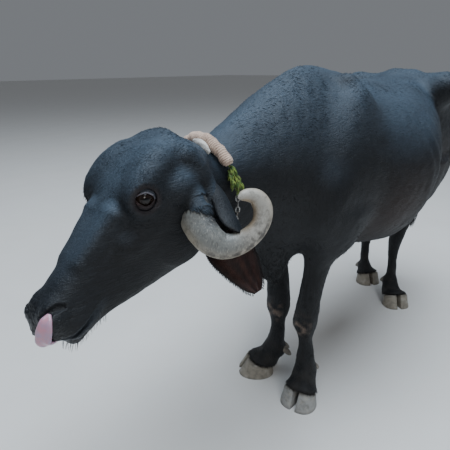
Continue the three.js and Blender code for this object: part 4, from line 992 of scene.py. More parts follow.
def coronet_plane(leg):
    """The plane in which a leg rests on its claws: a place on it, the way up, and the way ahead"""
    angle = math.radians(leg["heading"])
    ahead = np.array((math.cos(angle), math.sin(angle), 0))
    rise = (CORONET_TOE - CORONET_HEEL) / leg["claw_length"]
    heel = np.array((*leg["toe"], CORONET_HEEL)) - ahead * leg["claw_length"]
    return heel, unit((-ahead[0] * rise, -ahead[1] * rise, 1)), ahead, rise


def cut_at_claws(field, leg):
    heel, normal, _, _ = coronet_plane(leg)

    def cut(p):
        return -smooth_min(-field(p), (p - heel) @ normal - 0.001, 0.008)

    return cut


for name, leg in LEGS.items():
    legs[name] = cut_at_claws(legs[name], leg)


# Markings with painted sky sheen and painted shade: the same tones for skin and coat
HIDE_BLACK = np.array((0.0045, 0.0048, 0.0058))
HIDE_SLATE = np.array((0.0125, 0.0165, 0.022))
HIDE_BROWN = np.array((0.03, 0.0165, 0.0125))
# pale blue of a painted sky sheen on upward faces
HIDE_PAINTED_SHEEN = np.array((0.078, 0.12, 0.17))
BARE_PINK = np.array((0.085, 0.05, 0.048))
WORN = np.array((0.16, 0.14, 0.12))
WORN_KNEE = WORN * (1.5, 1.25, 1.15)
LID_RIM = np.array((0.2, 0.19, 0.22))
# pale blue-grey of a painted sky reflection on the pouch under the eye
LID_POUCH_PAINTED_REFLECTION = np.array((0.075, 0.09, 0.115))
LID_BROWN = np.array((0.04, 0.024, 0.022))


def toward(tone, other, amount):
    return tone + (other - tone) * np.clip(amount, 0, 1)[:, None]


def markings_and_painted_light(p, n=None):
    """Tone of the hide at each place, with painted sky sheen on its top and on upward faces and painted
    shade in the nostrils, how bare and wet it is, and how steeply its hair hangs
    """
    x, y, z = p.T
    q = to_head(p)
    on_head = smooth(q[:, 0], -0.05, 0.04) * (z > HEAD_LOWEST)
    tone = np.tile(HIDE_BLACK, (len(p), 1))
    # painted sheen: the hide turns slate towards the top of the body, varied at random
    tone = toward(tone, HIDE_SLATE, 0.6 * smooth(z, 0.95, 1.35) + 0.2 * waves(p, 0.3, 21))
    behind_elbow = 0.8 * bell(x, 0.18, 0.16) * bell(z, 0.82, 0.16)
    haunch = 0.4 * bell(x, -0.5, 0.2) * bell(z, 0.9, 0.14)
    tone = toward(tone, HIDE_BROWN, behind_elbow + haunch)
    # painted sheen: the top of the head is lightened to slate
    tone = toward(tone, HIDE_SLATE * 1.15, 0.8 * on_head * smooth(q[:, 2], -0.12, -0.02))
    # painted sheen: upward faces high on the body are lightened to a pale blue, standing in for the sky's
    # reflection
    if n is not None:
        painted_sheen = smooth(n[:, 2], 0.1, 0.95) * smooth(z, 0.85, 1.1)
        tone = toward(tone, HIDE_PAINTED_SHEEN, (0.66 + 0.12 * waves(p, 0.16, 24)) * painted_sheen)
    wet = 0.2 * smooth(q[:, 0], 0.52, 0.56) * on_head
    for side in (1, -1):
        centre, _, _, _ = eye_frame(side)
        near = np.linalg.norm(q - centre, axis=1)
        tone = toward(tone, BARE_PINK * 0.3, 0.7 * (1 - smooth(near, 0.034, 0.05)))
        nostril = chain_of(mirrored(NOSTRIL, side), NOSTRIL_RADII)(q)
        # painted shade: the inside of each nostril is made near black
        tone = toward(tone, np.array((0.004, 0.003, 0.003)), 0.9 * (1 - smooth(nostril, 0.0, 0.004)))
        lip = np.abs(q[:, 2] + 0.186) < 0.014
        tone = toward(tone, HIDE_SLATE * 2.0, 0.5 * lip * smooth(q[:, 0], 0.42, 0.5))
    knee = bell(z, 0.35, 0.042)
    for name in ("left_fore", "right_fore"):
        path_x, path_y = curve_of(LEGS[name]["path"])(np.array([0.35]))[0, 1:]
        front = smooth(x - path_x, 0.012, 0.045) * (np.abs(y - path_y) < 0.09)
        rubbed = smooth(waves(p, 0.03, 22), -0.6, 1.2)
        tone = toward(tone, WORN_KNEE, 0.95 * knee * front * rubbed)
    teats = bell(x, UDDER[0], 0.11) * bell(y, HIPS_Y, 0.08)
    teats = teats * (1 - smooth(z, 0.6, 0.68)) * smooth(z, 0.48, 0.5)
    tone = toward(tone, BARE_PINK * 0.8, 0.7 * teats)
    dust = (1 - smooth(z, 0.09, 0.3)) * (0.45 + 0.3 * waves(p, 0.05, 23))
    tone = toward(tone, WORN * 0.45, 0.35 * dust)
    tail_down = (x < TAIL_FRONT) * (z < 1.15)
    down = np.maximum(1 - smooth(z, 0.66, 0.84), tail_down.astype(float)) * (1 - on_head)
    down = np.maximum(down, 0.6 * smooth(x, 0.3, 0.45) * (1 - smooth(z, 0.95, 1.15)) * (1 - on_head))
    return tone, wet, down


def give(piece, name, values):
    """Stores a number or a colour for each corner of a piece"""
    values = np.asarray(values, np.float32)
    if values.ndim == 1:
        piece.data.attributes.new(name, "FLOAT", "POINT").data.foreach_set("value", values)
        return
    colors = np.ones((len(values), 4), np.float32)
    colors[:, :3] = np.clip(values, 0, 1)
    piece.data.attributes.new(name, "FLOAT_COLOR", "POINT").data.foreach_set("color", colors.ravel())


# Skin
SKIN_LOW = (-1.0, -0.42, 0.02)
SKIN_HIGH = (1.76, 0.42, 1.44)
NET_COARSE = 0.028
NET_SPLIT = 4
FLESH = ["torso", "neck", "head", "ear_left", "ear_right", "tail", "udder",
         *(f"leg_{name}" for name in LEGS)]


def make_skin():
    """The one skin over all flesh, finer on the head and finest round the eyes and on the muzzle.
    Gives back its places, quads and normals"""
    places, quads = lay_net(skin_field, SKIN_LOW, SKIN_HIGH, NET_COARSE, NET_SPLIT)
    places = in_parts(lambda p: settled(skin_field, p, 0.003, 1), places)
    places = relaxed(skin_field, places, quads, 0.003, 2)
    centres = places[quads].mean(1)
    on_head = (to_head(centres)[:, 0] > -0.03) & (centres[:, 2] > HEAD_LOWEST)
    places, quads, rims = split_quads(places, quads, on_head)
    middle = to_head(places[quads].mean(1))
    near_eye = np.minimum(*(np.linalg.norm(middle - eye_frame(side)[0], axis=1) for side in (1, -1))) < 0.1
    on_muzzle = (middle[:, 0] > 0.46) & (middle[:, 2] > -0.4)
    places, quads, more = split_quads(places, quads, near_eye | on_muzzle)
    rims += more
    moved = to_head(places)[:, 0] > -0.06
    places[moved] = in_parts(lambda p: settled(skin_field, p, 0.002, 2), places[moved])
    normals = unit(in_parts(lambda p: slope_of(skin_field, p), places))
    places = places + normals * relief(places)[:, None]
    piece = mesh_object("skin", places, quads.tolist() + rims, HIDE)
    # the tone holds painted sky sheen and painted nostril shade
    tone, wet, down = markings_and_painted_light(places, normals)
    give(piece, "tone", tone)
    give(piece, "wet", wet)
    give(piece, "down", down)
    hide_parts(*FLESH)
    return places, quads, normals


# Swept pieces
def frames_along(curve, count, up):
    t = np.linspace(0, 1, count)
    centre = curve(t)
    step = 1e-3
    tangent = unit(curve(np.clip(t + step, 0, 1)) - curve(np.clip(t - step, 0, 1)))
    across = unit(np.cross(np.broadcast_to(up, tangent.shape), tangent))
    return t, centre, tangent, across, unit(np.cross(tangent, across))


def ring_faces(rings, sides):
    """Quads of an open tube"""
    faces = []
    for i in range(rings - 1):
        for j in range(sides):
            a, b = i * sides + j, i * sides + (j + 1) % sides
            faces.append([a, b, b + sides, a + sides])
    return faces


def round_faces(rings, sides, base=0):
    """Quads of a tube that closes on itself, such as a link"""
    faces = []
    for i in range(rings):
        here, after = base + i * sides, base + (i + 1) % rings * sides
        for j in range(sides):
            k = (j + 1) % sides
            faces.append([here + j, here + k, after + k, after + j])
    return faces


def capped_faces(rings, sides):
    last = (rings - 1) * sides
    return ring_faces(rings, sides) + [list(range(sides))[::-1], list(range(last, last + sides))]


def swept(curve, count, sides, section, up, relief_at=None):
    """A closed tube. section gives half sizes across and up at each t"""
    t, centre, _, across, rise = frames_along(curve, count, up)
    angle = np.linspace(0, 2 * math.pi, sides, endpoint=False)
    wide, high = section(t)
    grow = 1 if relief_at is None else relief_at(t[:, None], angle[None, :])[..., None]
    rim = across[:, None] * (wide[:, None] * np.cos(angle))[..., None]
    rim = rim + rise[:, None] * (high[:, None] * np.sin(angle))[..., None]
    return (centre[:, None] + rim * grow).reshape(-1, 3), capped_faces(count, sides), t, angle


def wound(faces, hand):
    """Faces wound so that they look outwards, on the left (1) and on the right (-1)"""
    return [face[::-1] for face in faces] if hand > 0 else faces


def side_word(side):
    return "left" if side > 0 else "right"


def eye_ring(turn, slit, brow):
    """Ways out from the eye's middle line, by the angle from the front corner up and round"""
    return np.cos(turn)[:, None] * slit + np.sin(turn)[:, None] * brow


def make_eye(side):
    """A ball with a bulging front, a wide flat pupil and a dark iris"""
    centre, out, slit, brow = eye_frame(side)
    rows, columns = 56, 64
    polar = np.linspace(0.02, math.pi - 0.02, rows)
    turn = np.linspace(0, 2 * math.pi, columns, endpoint=False)
    bulge = EYE_RADIUS * (0.992 + 0.045 * (1 - smooth(polar, 0.35, 0.75)))
    ring = eye_ring(turn, slit, brow)
    places = centre + (bulge * np.cos(polar))[:, None, None] * out
    places = places + (bulge * np.sin(polar))[:, None, None] * ring
    piece = mesh_object(f"eyeball_{side_word(side)}", from_head(places.reshape(-1, 3)),
                        capped_faces(rows, columns), eye_finish())
    reach = np.broadcast_to(polar[:, None], (rows, columns)).ravel()
    wide = (np.sin(polar)[:, None] * np.cos(turn)).ravel()
    tall = (np.sin(polar)[:, None] * np.sin(turn)).ravel()
    pupil = 1 - smooth(np.hypot(wide / 0.34, tall / 0.17), 0.9, 1.1)
    iris = 1 - smooth(reach, 0.6, 0.68)
    spokes = 0.8 + 0.2 * np.sin(np.arctan2(tall, wide) * 23) * np.sin(reach * 40)
    tone = np.tile((0.03, 0.019, 0.015), (len(reach), 1))
    tone = toward(tone, np.array((0.012, 0.006, 0.004)) * spokes[:, None], iris)
    tone = toward(tone, np.array((0.001, 0.001, 0.0015)), pupil)
    give(piece, "tone", tone)
    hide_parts(f"eye_{side_word(side)}")


LID_OPEN = {"front": 0.0225, "back": 0.0212, "over": 0.0162, "under": 0.0148}
ALMOND_POWER = 1.6
LID_INNER = EYE_RADIUS * 1.042
LID_OUTER = EYE_RADIUS + 0.0042
LASH_ROOT = EYE_RADIUS + 0.0036
CORNER_LEVEL = 1e-6


def almond(turn):
    """Reach of the opening between the lids, by the angle from the front corner up and round"""
    along, up = np.cos(turn), np.sin(turn)
    long = np.where(along > 0, LID_OPEN["front"], LID_OPEN["back"])
    high = np.where(up > 0, LID_OPEN["over"], LID_OPEN["under"])
    reach = (np.abs(along) / long) ** ALMOND_POWER + (np.abs(up) / high) ** ALMOND_POWER
    return reach ** (-1 / ALMOND_POWER)


def make_lids(side):
    """Both lids as one thin shell over the ball, open in an almond, that runs out into the socket. Places
    level with the corners of the eye count as upper lid"""
    centre, out, slit, brow = eye_frame(side)
    columns, rows = 128, 40
    turn = np.linspace(0, 2 * math.pi, columns, endpoint=False)
    ring = eye_ring(turn, slit, brow)
    edge = np.arcsin(almond(turn) / EYE_RADIUS)
    inner, outer, last = LID_INNER, LID_OUTER, math.radians(88)
    share = np.linspace(0, 1, rows)[:, None]
    polar = edge + (last - edge) * share
    gone = (polar - edge) * EYE_RADIUS
    up = np.sin(turn)
    crease = 0.0013 * bell(gone, 0.0062 + 0.0012 * up, 0.0011)
    crease = crease + 0.0009 * bell(gone, 0.0108 + 0.001 * up, 0.0012)
    crease = crease * smooth(np.abs(up), 0.1, 0.5)
    roll = 0.0006 * bell(gone, 0.0016, 0.0014)
    reach = outer + 0.0046 * smooth(gone, 0.004, 0.016) + roll - crease
    turned = np.linspace(0, math.pi, 7)[1:-1, None]
    mid, half = (inner + outer) / 2, (outer - inner) / 2
    lip_polar = edge - half / EYE_RADIUS * np.sin(turned)
    lip_reach = np.broadcast_to(mid - half * np.cos(turned), lip_polar.shape)
    all_polar = np.concatenate([polar[::-3], lip_polar, polar])
    all_reach = np.concatenate([np.full_like(polar, inner)[::-3], lip_reach, reach])
    places = centre + (all_reach * np.cos(all_polar))[..., None] * out
    places = places + (all_reach * np.sin(all_polar))[..., None] * ring
    count = len(all_polar)
    faces = wound(round_faces(count, columns), side)
    places = places.reshape(-1, 3)
    piece = mesh_object(f"lids_{side_word(side)}", from_head(places), faces, HIDE)
    d = places - centre
    ahead, high = d @ slit, d @ brow
    above = high > -CORNER_LEVEL
    off = np.concatenate([gone[::-3], -np.ones_like(lip_polar) * 0.001, gone]).ravel()
    tone = markings_and_painted_light(from_head(places))[0]
    # painted reflection: the pouch under the lower lid is lightened to a pale blue-grey
    tone = toward(tone, LID_POUCH_PAINTED_REFLECTION, 0.8 * ~above * bell(off, 0.0045, 0.005))
    tone = toward(tone, LID_BROWN, 0.75 * above * (1 - smooth(off, 0.003, 0.009)))
    tone = toward(tone, BARE_PINK, 0.8 * smooth(ahead, 0.012, 0.019) * (1 - smooth(off, 0.001, 0.006)))
    tone = toward(tone, LID_RIM, 0.75 * (high < 0.001) * (off < 0.0006))
    give(piece, "tone", tone)
    give(piece, "wet", 0.25 * (off < 0.002) * ~above)
    give(piece, "down", np.zeros(len(places)))


HORN_GREY = np.array((0.15, 0.157, 0.15))
HORN_CREAM = np.array((0.4, 0.35, 0.27))
HORN_PALE = np.array((0.42, 0.4, 0.36))
HORN_AMBER = np.array((0.3, 0.2, 0.1))
HORN_DARK = np.array((0.04, 0.033, 0.027))
HORN_INSET = 0.0006


def make_horn(side):
    """One horn, swept along its curl, ringed and fluted, grey, cream on its rim and amber inside"""
    curve = spline(from_head(mirrored(HORN, side)))

    def section(t):
        size = HORN_SIZE(t)
        return size[:, 1] - HORN_INSET, size[:, 2] - HORN_INSET

    def own(angle):
        """The way round the horn: 0 inside the curl, a quarter on the flat face, half on the outer rim"""
        return angle if side > 0 else math.pi - angle

    def ridges(t, angle):
        angle = own(angle)
        rings = np.sin(t * 95 + 1.2 * np.sin(angle + 1) + 2 * np.sin(t * 31))
        flutes = np.sin(angle * 9 + t * 6) * 0.4 + np.sin(angle * 14 - t * 9) * 0.3
        groove = bell(np.cos(angle - 2.45), 1, 0.03) * smooth(t, 0.08, 0.2) * (1 - smooth(t, 0.6, 0.8))
        return (1 - 0.012 * (1 - t) ** 1.5 * (1 - rings) - 0.008 * (1 - smooth(t, 0.25, 0.5)) * (1 + flutes)
                - 0.07 * groove)

    count, sides = 170, 48
    places, faces, t, angle = swept(curve, count, sides, section, horn_facing(side), ridges)
    piece = mesh_object(f"horn_{side_word(side)}_fine", places, faces, HORN_MATERIAL)
    t = np.repeat(t, sides)
    angle = own(np.tile(angle, count))
    blotch = waves(places, 0.03, 31) * 0.5 + waves(places, 0.012, 32) * 0.5
    face = bell(np.cos(angle - 1.5), 1, 0.7)
    rim = bell(np.cos(angle - 2.9), 1, 0.35)
    inner = bell(np.cos(angle), 1, 0.5)
    tone = np.tile(HORN_GREY, (len(t), 1))
    tone = toward(tone, HORN_CREAM, 0.85 * rim * smooth(t, 0.1, 0.24))
    tone = toward(tone, HORN_PALE, 0.75 * face * smooth(t, 0.42, 0.6))
    tone = toward(tone, HORN_AMBER, 0.75 * inner * smooth(t, 0.42, 0.62))
    tone = toward(tone, HORN_DARK, 0.75 * (1 - smooth(t, 0.1, 0.22)) * smooth(blotch, -0.5, 1.0))
    tone = toward(tone, HIDE_SLATE, inner * (1 - smooth(t, 0.2, 0.3)))
    # painted shade: a dark stripe along the groove by the horn's lower rim, broken by blotches
    groove_shade = bell(np.cos(angle - 2.45), 1, 0.05) * smooth(t, 0.2, 0.36) * (1 - smooth(t, 0.6, 0.72))
    tone = toward(tone, HORN_DARK, 0.95 * groove_shade * smooth(blotch, -1.4, 0.4))
    # a darker blotchy patch on the curl between its face and its rim
    dark_patch = bell(np.cos(angle - 2.2), 1, 0.3) * bell(t, 0.56, 0.07)
    tone = toward(tone, HORN_DARK, 0.7 * dark_patch * smooth(blotch, -0.4, 0.9))
    tone = toward(tone, HORN_PALE, 0.8 * smooth(t, 0.95, 1.0))
    give(piece, "tone", tone)
    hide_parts(f"horn_{side_word(side)}")


EAR_SHAPE = curve_of([(0, 0.024, 176, 0.009), (0.3, 0.038, 172, 0.009), (0.45, 0.048, 150, 0.009),
                      (0.55, 0.057, 108, 0.008), (0.7, 0.065, 66, 0.007), (0.82, 0.064, 46, 0.006),
                      (0.95, 0.048, 34, 0.0045), (1, 0.03, 24, 0.003)])
EAR_BROWN = np.array((0.06, 0.023, 0.016))


def ear_frames(side, count):
    t, centre, tangent, _, _ = frames_along(spline(from_head(mirrored(EAR, side))), count, (0, 0, 1))
    facing = unit((0.8, side * 0.45, 0.25))
    width = unit(np.cross(tangent, facing)) * side
    return t, centre, tangent, width, unit(np.cross(width, tangent)) * side


def make_ear(side):
    """A long leaf of two layers, rolled to a tube at its root and open at its end.
    Gives back its stations, its rings and the way it opens"""
    count, across = 70, 40
    t, centre, _, width, opening = ear_frames(side, count)
    _, radius, half, thick = EAR_SHAPE(t).T
    share = np.linspace(-1, 1, across)
    angle = np.radians(half)[:, None] * share
    body_of_ear = 1 - 0.75 * np.abs(share) ** 3
    depth = 0.55 * radius * smooth(t, 0.25, 0.6)
    layers = []
    for outer in (1, -1):
        ripple = 0.0011 * np.sin(share * 9 + t[:, None] * 5) * (outer < 0) * smooth(t, 0.2, 0.4)[:, None]
        spread = radius[:, None] + outer * thick[:, None] * 0.42 * body_of_ear + ripple
        layers.append(centre[:, None] + width[:, None] * (spread * np.sin(angle))[..., None]
                      + opening[:, None] * (depth[:, None] - spread * np.cos(angle))[..., None])
    inner_back = layers[1][:, ::-1]
    inner_share = share[::-1]
    rings = np.concatenate([layers[0], inner_back], 1)
    faces = wound(capped_faces(count, 2 * across), side)
    piece = mesh_object(f"ear_{side_word(side)}_fine", rings.reshape(-1, 3), faces, HIDE)
    inside = np.zeros((count, 2 * across))
    inside[:, across:] = 1
    inside = (inside * smooth(t, 0.4, 0.52)[:, None]).ravel()
    places = rings.reshape(-1, 3)
    tone = np.tile(HIDE_SLATE, (len(places), 1))
    ribs = 0.75 + 0.25 * np.cos(np.concatenate([share, inner_share]) * 11)
    brown = EAR_BROWN * np.tile(ribs, count)[:, None] * (1 + 0.2 * waves(places, 0.02, 33))[:, None]
    tone = toward(tone, brown, 0.9 * inside)
    tone = toward(tone, HIDE_BLACK, 0.8 * np.tile(np.abs(np.concatenate([share, share])) > 0.9, count))
    give(piece, "tone", tone)
    give(piece, "wet", np.zeros(len(places)))
    give(piece, "down", np.full(len(places), 0.7))
    return t, rings, opening


CLAW_GAP = 0.007
CLAW_TAN = np.array((0.27, 0.245, 0.2))
CLAW_GREY = np.array((0.3, 0.3, 0.29))
CLAW_SOIL = np.array((0.1, 0.085, 0.07))
CLAW_PALE = np.array((0.42, 0.4, 0.35))
DEWCLAW_TAN = np.array((0.2, 0.18, 0.15))
DEWCLAW_HEIGHT = {"fore": 0.128, "hind": 0.104}


def make_claw(name, leg, hand):
    """One claw: a bowed outer wall, a flatter inner one and a top that slopes to the heel"""
    heel, _, ahead, rise = coronet_plane(leg)
    across = np.array((-ahead[1], ahead[0], 0)) * hand
    sides, levels = 56, 24
    turn = np.linspace(0, 2 * math.pi, sides, endpoint=False)
    t = np.linspace(0, 1, levels)[:, None]
    bow = np.sin(turn)
    reach = 0.5 - 0.5 * np.cos(turn)
    hollow = 0.0022 * np.sin(math.pi * t)
    rings = 0.0005 * np.sin(t * 34 + 3 * reach) * (bow > 0)
    long = leg["claw_length"] * (reach * (1 - 0.32 * t) + 0.05 * t)
    fillet = 1 - np.sqrt(1 - np.clip((t - 0.78) / 0.22, 0, 1) ** 2 * 0.98)
    wide = leg["claw_width"] * (1 - 0.14 * t - 0.16 * fillet)
    outer = np.where(bow > 0, np.abs(bow) ** 0.8 * wide, bow * 0.005)
    splay = 0.007 * reach**3
    long = long * (1 - 0.1 * fillet) + 0.04 * leg["claw_length"] * fillet
    toe_in = reach**2 * 0.006 * (1 - t)
    sole = 0.0016 * (1 - smooth(t, 0.0, 0.12))
    inward = (hollow + sole) * np.maximum(bow, 0)
    aside = CLAW_GAP / 2 + 0.005 + outer + splay - toe_in * 0.5 - inward + rings
    long = long - hollow * reach - sole * (reach - 0.5)
    top = CORONET_HEEL + rise * long
    places = heel + long[..., None] * ahead + aside[..., None] * across
    places[..., 2] = t * (top - 0.0006)
    faces = wound(capped_faces(levels, sides), hand)
    piece = mesh_object(f"{name}_fine", places.reshape(-1, 3), faces, CLAW_MATERIAL)
    up = np.broadcast_to(t, (levels, sides)).ravel()
    flat = places.reshape(-1, 3)
    tone = np.tile(CLAW_GREY if leg is LEGS["left_fore"] else CLAW_TAN, (len(flat), 1))
    soil = 0.6 * smooth(up, 0.75, 1.0) + 0.4 * (1 - smooth(up, 0.0, 0.15))
    tone = toward(tone, CLAW_SOIL, soil)
    tone = toward(tone, CLAW_PALE, 0.5 * smooth(waves(flat, 0.03, 41), 0.2, 1.4))
    give(piece, "tone", tone)
    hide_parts(name)


def make_dewclaw(name, leg, hand):
    """A small blunt cone behind the fetlock"""
    height = DEWCLAW_HEIGHT["fore" if leg["girth"] is FORE_GIRTH else "hind"]
    _, x, y = at_height(leg["path"], height)
    _, long, wide, _ = at_height(leg["girth"], height)
    angle = math.radians(at_height(leg["turn"], height)[1])
    ahead = np.array((math.cos(angle), math.sin(angle), 0))
    across = np.array((-ahead[1], ahead[0], 0)) * hand
    root = np.array((x, y, height + 0.012)) - ahead * long * 0.9 + across * wide * 0.42
    tip = np.array((x, y, height - 0.026)) - ahead * (long + 0.036) + across * wide * 0.55
    size = curve_of([(0, 0.017, 0.015), (0.6, 0.0145, 0.0125), (0.88, 0.009, 0.008), (1, 0.002, 0.002)])
    places, faces, _, _ = swept(spline([root, (root + tip) / 2, tip]), 16, 24,
                                lambda s: size(s).T[1:], (0, 0, 1), lambda s, a: 1 - 0.03 * np.sin(s * 30))
    piece = mesh_object(f"{name}_fine", places, faces, CLAW_MATERIAL)
    give(piece, "tone", DEWCLAW_TAN * (1 + 0.2 * waves(places, 0.02, 42))[:, None])
    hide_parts(name)


TONGUE = [(0.58, 0.022, -0.168), (0.6, 0.03, -0.16), (0.604, 0.038, -0.14), (0.596, 0.046, -0.124),
          (0.582, 0.052, -0.108), (0.566, 0.052, -0.096), (0.55, 0.046, -0.094)]


def make_tongue():
    """The tongue, out at the side of the mouth and turned up to the nostril"""
    size = curve_of([(0, 0.017, 0.006), (0.3, 0.02, 0.006), (0.6, 0.02, 0.006), (0.85, 0.014, 0.005),
                     (1, 0.005, 0.003)])
    turn = np.clip(np.linspace(0, 1, 60) / 0.4, 0, 1)[:, None]
    up = (np.array((0.1, 0.1, -1)) * (1 - turn) + np.array((0.62, 0.5, 0.45)) * turn) @ HEAD_TURN.T

    def groove(t, angle):
        return 1 - 0.4 * bell(np.abs(np.sin(angle)), 1, 0.12) * (1 - smooth(t, 0.85, 1))

    places, faces, _, _ = swept(spline(from_head(TONGUE)), 60, 36, lambda t: size(t).T[1:], unit(up), groove)
    piece = mesh_object("tongue_fine", places, faces, tongue_finish())
    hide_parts("tongue")


# Collar
COLLAR_CENTRE = np.array((0.974, 0.012, 1.04))
COLLAR_UP = unit((0.21, 0, 1))
COLLAR_SIDE = unit((0.02, 1, 0))
COLLAR_TURN = np.cross(COLLAR_UP, COLLAR_SIDE)
ROPE_FROM, ROPE_TO = -62, 56
TIE_FROM, TIE_TO = 6, 34
FIBRES_FROM, FIBRES_TO = 56, 82
CHAIN_FROM, CHAIN_TO = 79, 297
ROPE_CREAM = (0.66, 0.5, 0.4, 1)
ROPE_SOIL = (0.33, 0.21, 0.16, 1)
TIE_WHITE = (0.74, 0.72, 0.68, 1)
TIE_SOIL = (0.5, 0.46, 0.42, 1)


def collar_path(start, end, count, lift, ahead=0.0):
    """Places round the neck, found along rays from its middle. Angles in degrees from straight up"""
    angle = np.radians(np.linspace(start, end, count))[:, None]
    centre = COLLAR_CENTRE + (ahead, 0, 0)
    rays = COLLAR_UP * np.cos(angle) + COLLAR_SIDE * np.sin(angle)
    low, high = np.full(count, 0.02), np.full(count, 0.4)
    for _ in range(22):
        middle = (low + high) / 2
        p = centre + rays * middle[:, None]
        inside = smooth_min(trunk(p), head(p), NECK_BLEND) < 0
        low, high = np.where(inside, middle, low), np.where(inside, high, middle)
    return centre + rays * (low + lift)[:, None]


def make_rope():
    """The rope over the top of the neck, in turned strands, and the cloth tie beside it"""
    curve = spline(collar_path(ROPE_FROM, ROPE_TO, 40, 0.018))
    count, sides = 420, 28
    t, centre, _, across, rise = frames_along(curve, count, COLLAR_TURN)
    angle = np.linspace(0, 2 * math.pi, sides, endpoint=False)
    wraps = 46 * t[:, None] + angle / (2 * math.pi) + 0.25 * np.sin(t[:, None] * 19)
    bead = np.abs(np.sin(wraps * math.pi))
    lumps = 0.0011 * np.sin(t[:, None] * 37 + angle) + 0.0008 * np.sin(t[:, None] * 61 - 2 * angle)
    ends = 1 - 0.35 * (1 - smooth(np.minimum(t, 1 - t), 0, 0.03))
    size = ((0.0162 + 0.0026 * bead**0.7 + lumps) * ends[:, None])[..., None]
    rim = across[:, None] * np.cos(angle)[:, None] + rise[:, None] * np.sin(angle)[:, None]
    places = centre[:, None] + rim * size
    piece = mesh_object("rope_fine", places.reshape(-1, 3), capped_faces(count, sides),
                        rope_finish("rope", ROPE_CREAM, ROPE_SOIL))
    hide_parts("collar_rope")
    tie_curve = spline(collar_path(TIE_FROM, TIE_TO, 12, 0.009, 0.036))

    def tie_section(t):
        bow = np.sin(math.pi * t)
        return 0.007 + 0.008 * bow, 0.004 + 0.006 * bow

    places, faces, _, _ = swept(tie_curve, 60, 20, tie_section, COLLAR_TURN,
                                lambda s, a: 1 + 0.06 * np.sin(5 * a + 14 * s))
    tie = mesh_object("tie_fine", places, faces, rope_finish("tie_cloth", TIE_WHITE, TIE_SOIL))
    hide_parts("collar_tie")


def make_chain():
    """Links round the throat, each at a right angle to the next"""
    fine = spline(collar_path(CHAIN_FROM, CHAIN_TO, 120, 0.0085))(np.linspace(0, 1, 2000))
    run = np.concatenate([[0], np.cumsum(np.linalg.norm(np.diff(fine, axis=0), axis=1))])
    wire, half_long, half_wide = 0.0021, 0.0125, 0.0078
    pitch = 2 * (half_long - wire)
    count = int(run[-1] / pitch)
    segments, sides = 26, 8
    turn = np.linspace(0, 2 * math.pi, segments, endpoint=False)
    straight = half_long - half_wide
    ring = np.stack([np.cos(turn) * (half_wide - wire) + np.sign(np.cos(turn)) * straight,
                     np.sin(turn) * (half_wide - wire)], 1)
    all_places, faces = [], []
    for n in range(count):
        spot = np.array([np.interp((n + 0.5) * pitch, run, fine[:, k]) for k in range(3)])
        ahead = np.array([np.interp((n + 0.9) * pitch, run, fine[:, k]) for k in range(3)])
        tangent = unit(ahead - spot)
        out = unit(spot - COLLAR_CENTRE - tangent * ((spot - COLLAR_CENTRE) @ tangent))
        lean = math.radians(45 if n % 2 else -45)
        flat = np.cross(tangent, out)
        wide = flat * math.cos(lean) + out * math.sin(lean)
        normal = np.cross(tangent, wide)
        centre = spot + tangent * ring[:, :1] + wide * ring[:, 1:]
        outward = unit(tangent * np.cos(turn)[:, None] + wide * np.sin(turn)[:, None])
        around = np.linspace(0, 2 * math.pi, sides, endpoint=False)
        rim = outward[:, None] * np.cos(around)[:, None] + normal * np.sin(around)[:, None]
        link = centre[:, None] + wire * rim
        faces += round_faces(segments, sides, n * segments * sides)
        all_places.append(link.reshape(-1, 3))
    piece = mesh_object("chain_fine", np.concatenate(all_places), faces, steel_finish())
    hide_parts("collar_chain")


def blade_faces(base, row, steps):
    """Quads of a thin closed blade of two layers: both faces, its edges and its ends"""
    size = row * (steps + 1)
    last = row - 1
    faces = []
    for i in range(steps):
        for j in range(last):
            a = base + i * row + j
            b = a + size
            faces += [[a, a + 1, a + row + 1, a + row], [b + row, b + row + 1, b + 1, b]]
        a, b = base + i * row, base + i * row + last
        faces += [[a, a + row, a + row + size, a + size], [b + size, b + row + size, b + row, b]]
    for j in range(last):
        a, b = base + j, base + steps * row + j
        faces += [[a, a + size, a + 1 + size, a + 1], [b + 1, b + 1 + size, b + size, b]]
    return faces


def make_fibres():
    """Leafy fibres knotted between the rope's end and the chain: small folded blades on thin stems"""
    draw = np.random.default_rng(52)
    count, shares, steps = 64, (-1, -0.5, 0, 0.5, 1), 7
    all_places, faces = [], []
    for n in range(count):
        start = FIBRES_FROM + (FIBRES_TO - FIBRES_FROM) * n / count
        lift = 0.008 + 0.008 * draw.random()
        ahead = draw.uniform(-0.012, 0.012)
        spot = collar_path(start, start + 0.1, 2, lift, ahead)[0]
        out = unit(spot - COLLAR_CENTRE)
        length = draw.uniform(0.014, 0.03)
        way = unit(np.array((draw.uniform(-0.7, 0.7), 0, -1)) + out * draw.uniform(0.1, 0.55))
        across = unit(np.cross(way, out)) * draw.uniform(0.002, 0.0046)
        fold = unit(np.cross(across, way))
        faces += blade_faces(len(all_places), len(shares), steps)
        for layer in (1, -1):
            for t in np.linspace(0, 1, steps + 1):
                wide = math.sin(math.pi * min(t * 0.9 + 0.08, 1)) ** 0.8
                droop = np.array((0, 0, -0.008 * t * t))
                centre = spot + way * length * t + out * 0.006 * math.sin(2.5 * t) + droop
                for share in shares:
                    rise = abs(share) * 0.0022 * wide + layer * 0.0004 * (1 - abs(share) * 0.7)
                    all_places.append(centre + across * share * wide + fold * rise)
    piece = mesh_object("fibres_fine", np.array(all_places), faces, fibre_finish())
    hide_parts("collar_fibres")


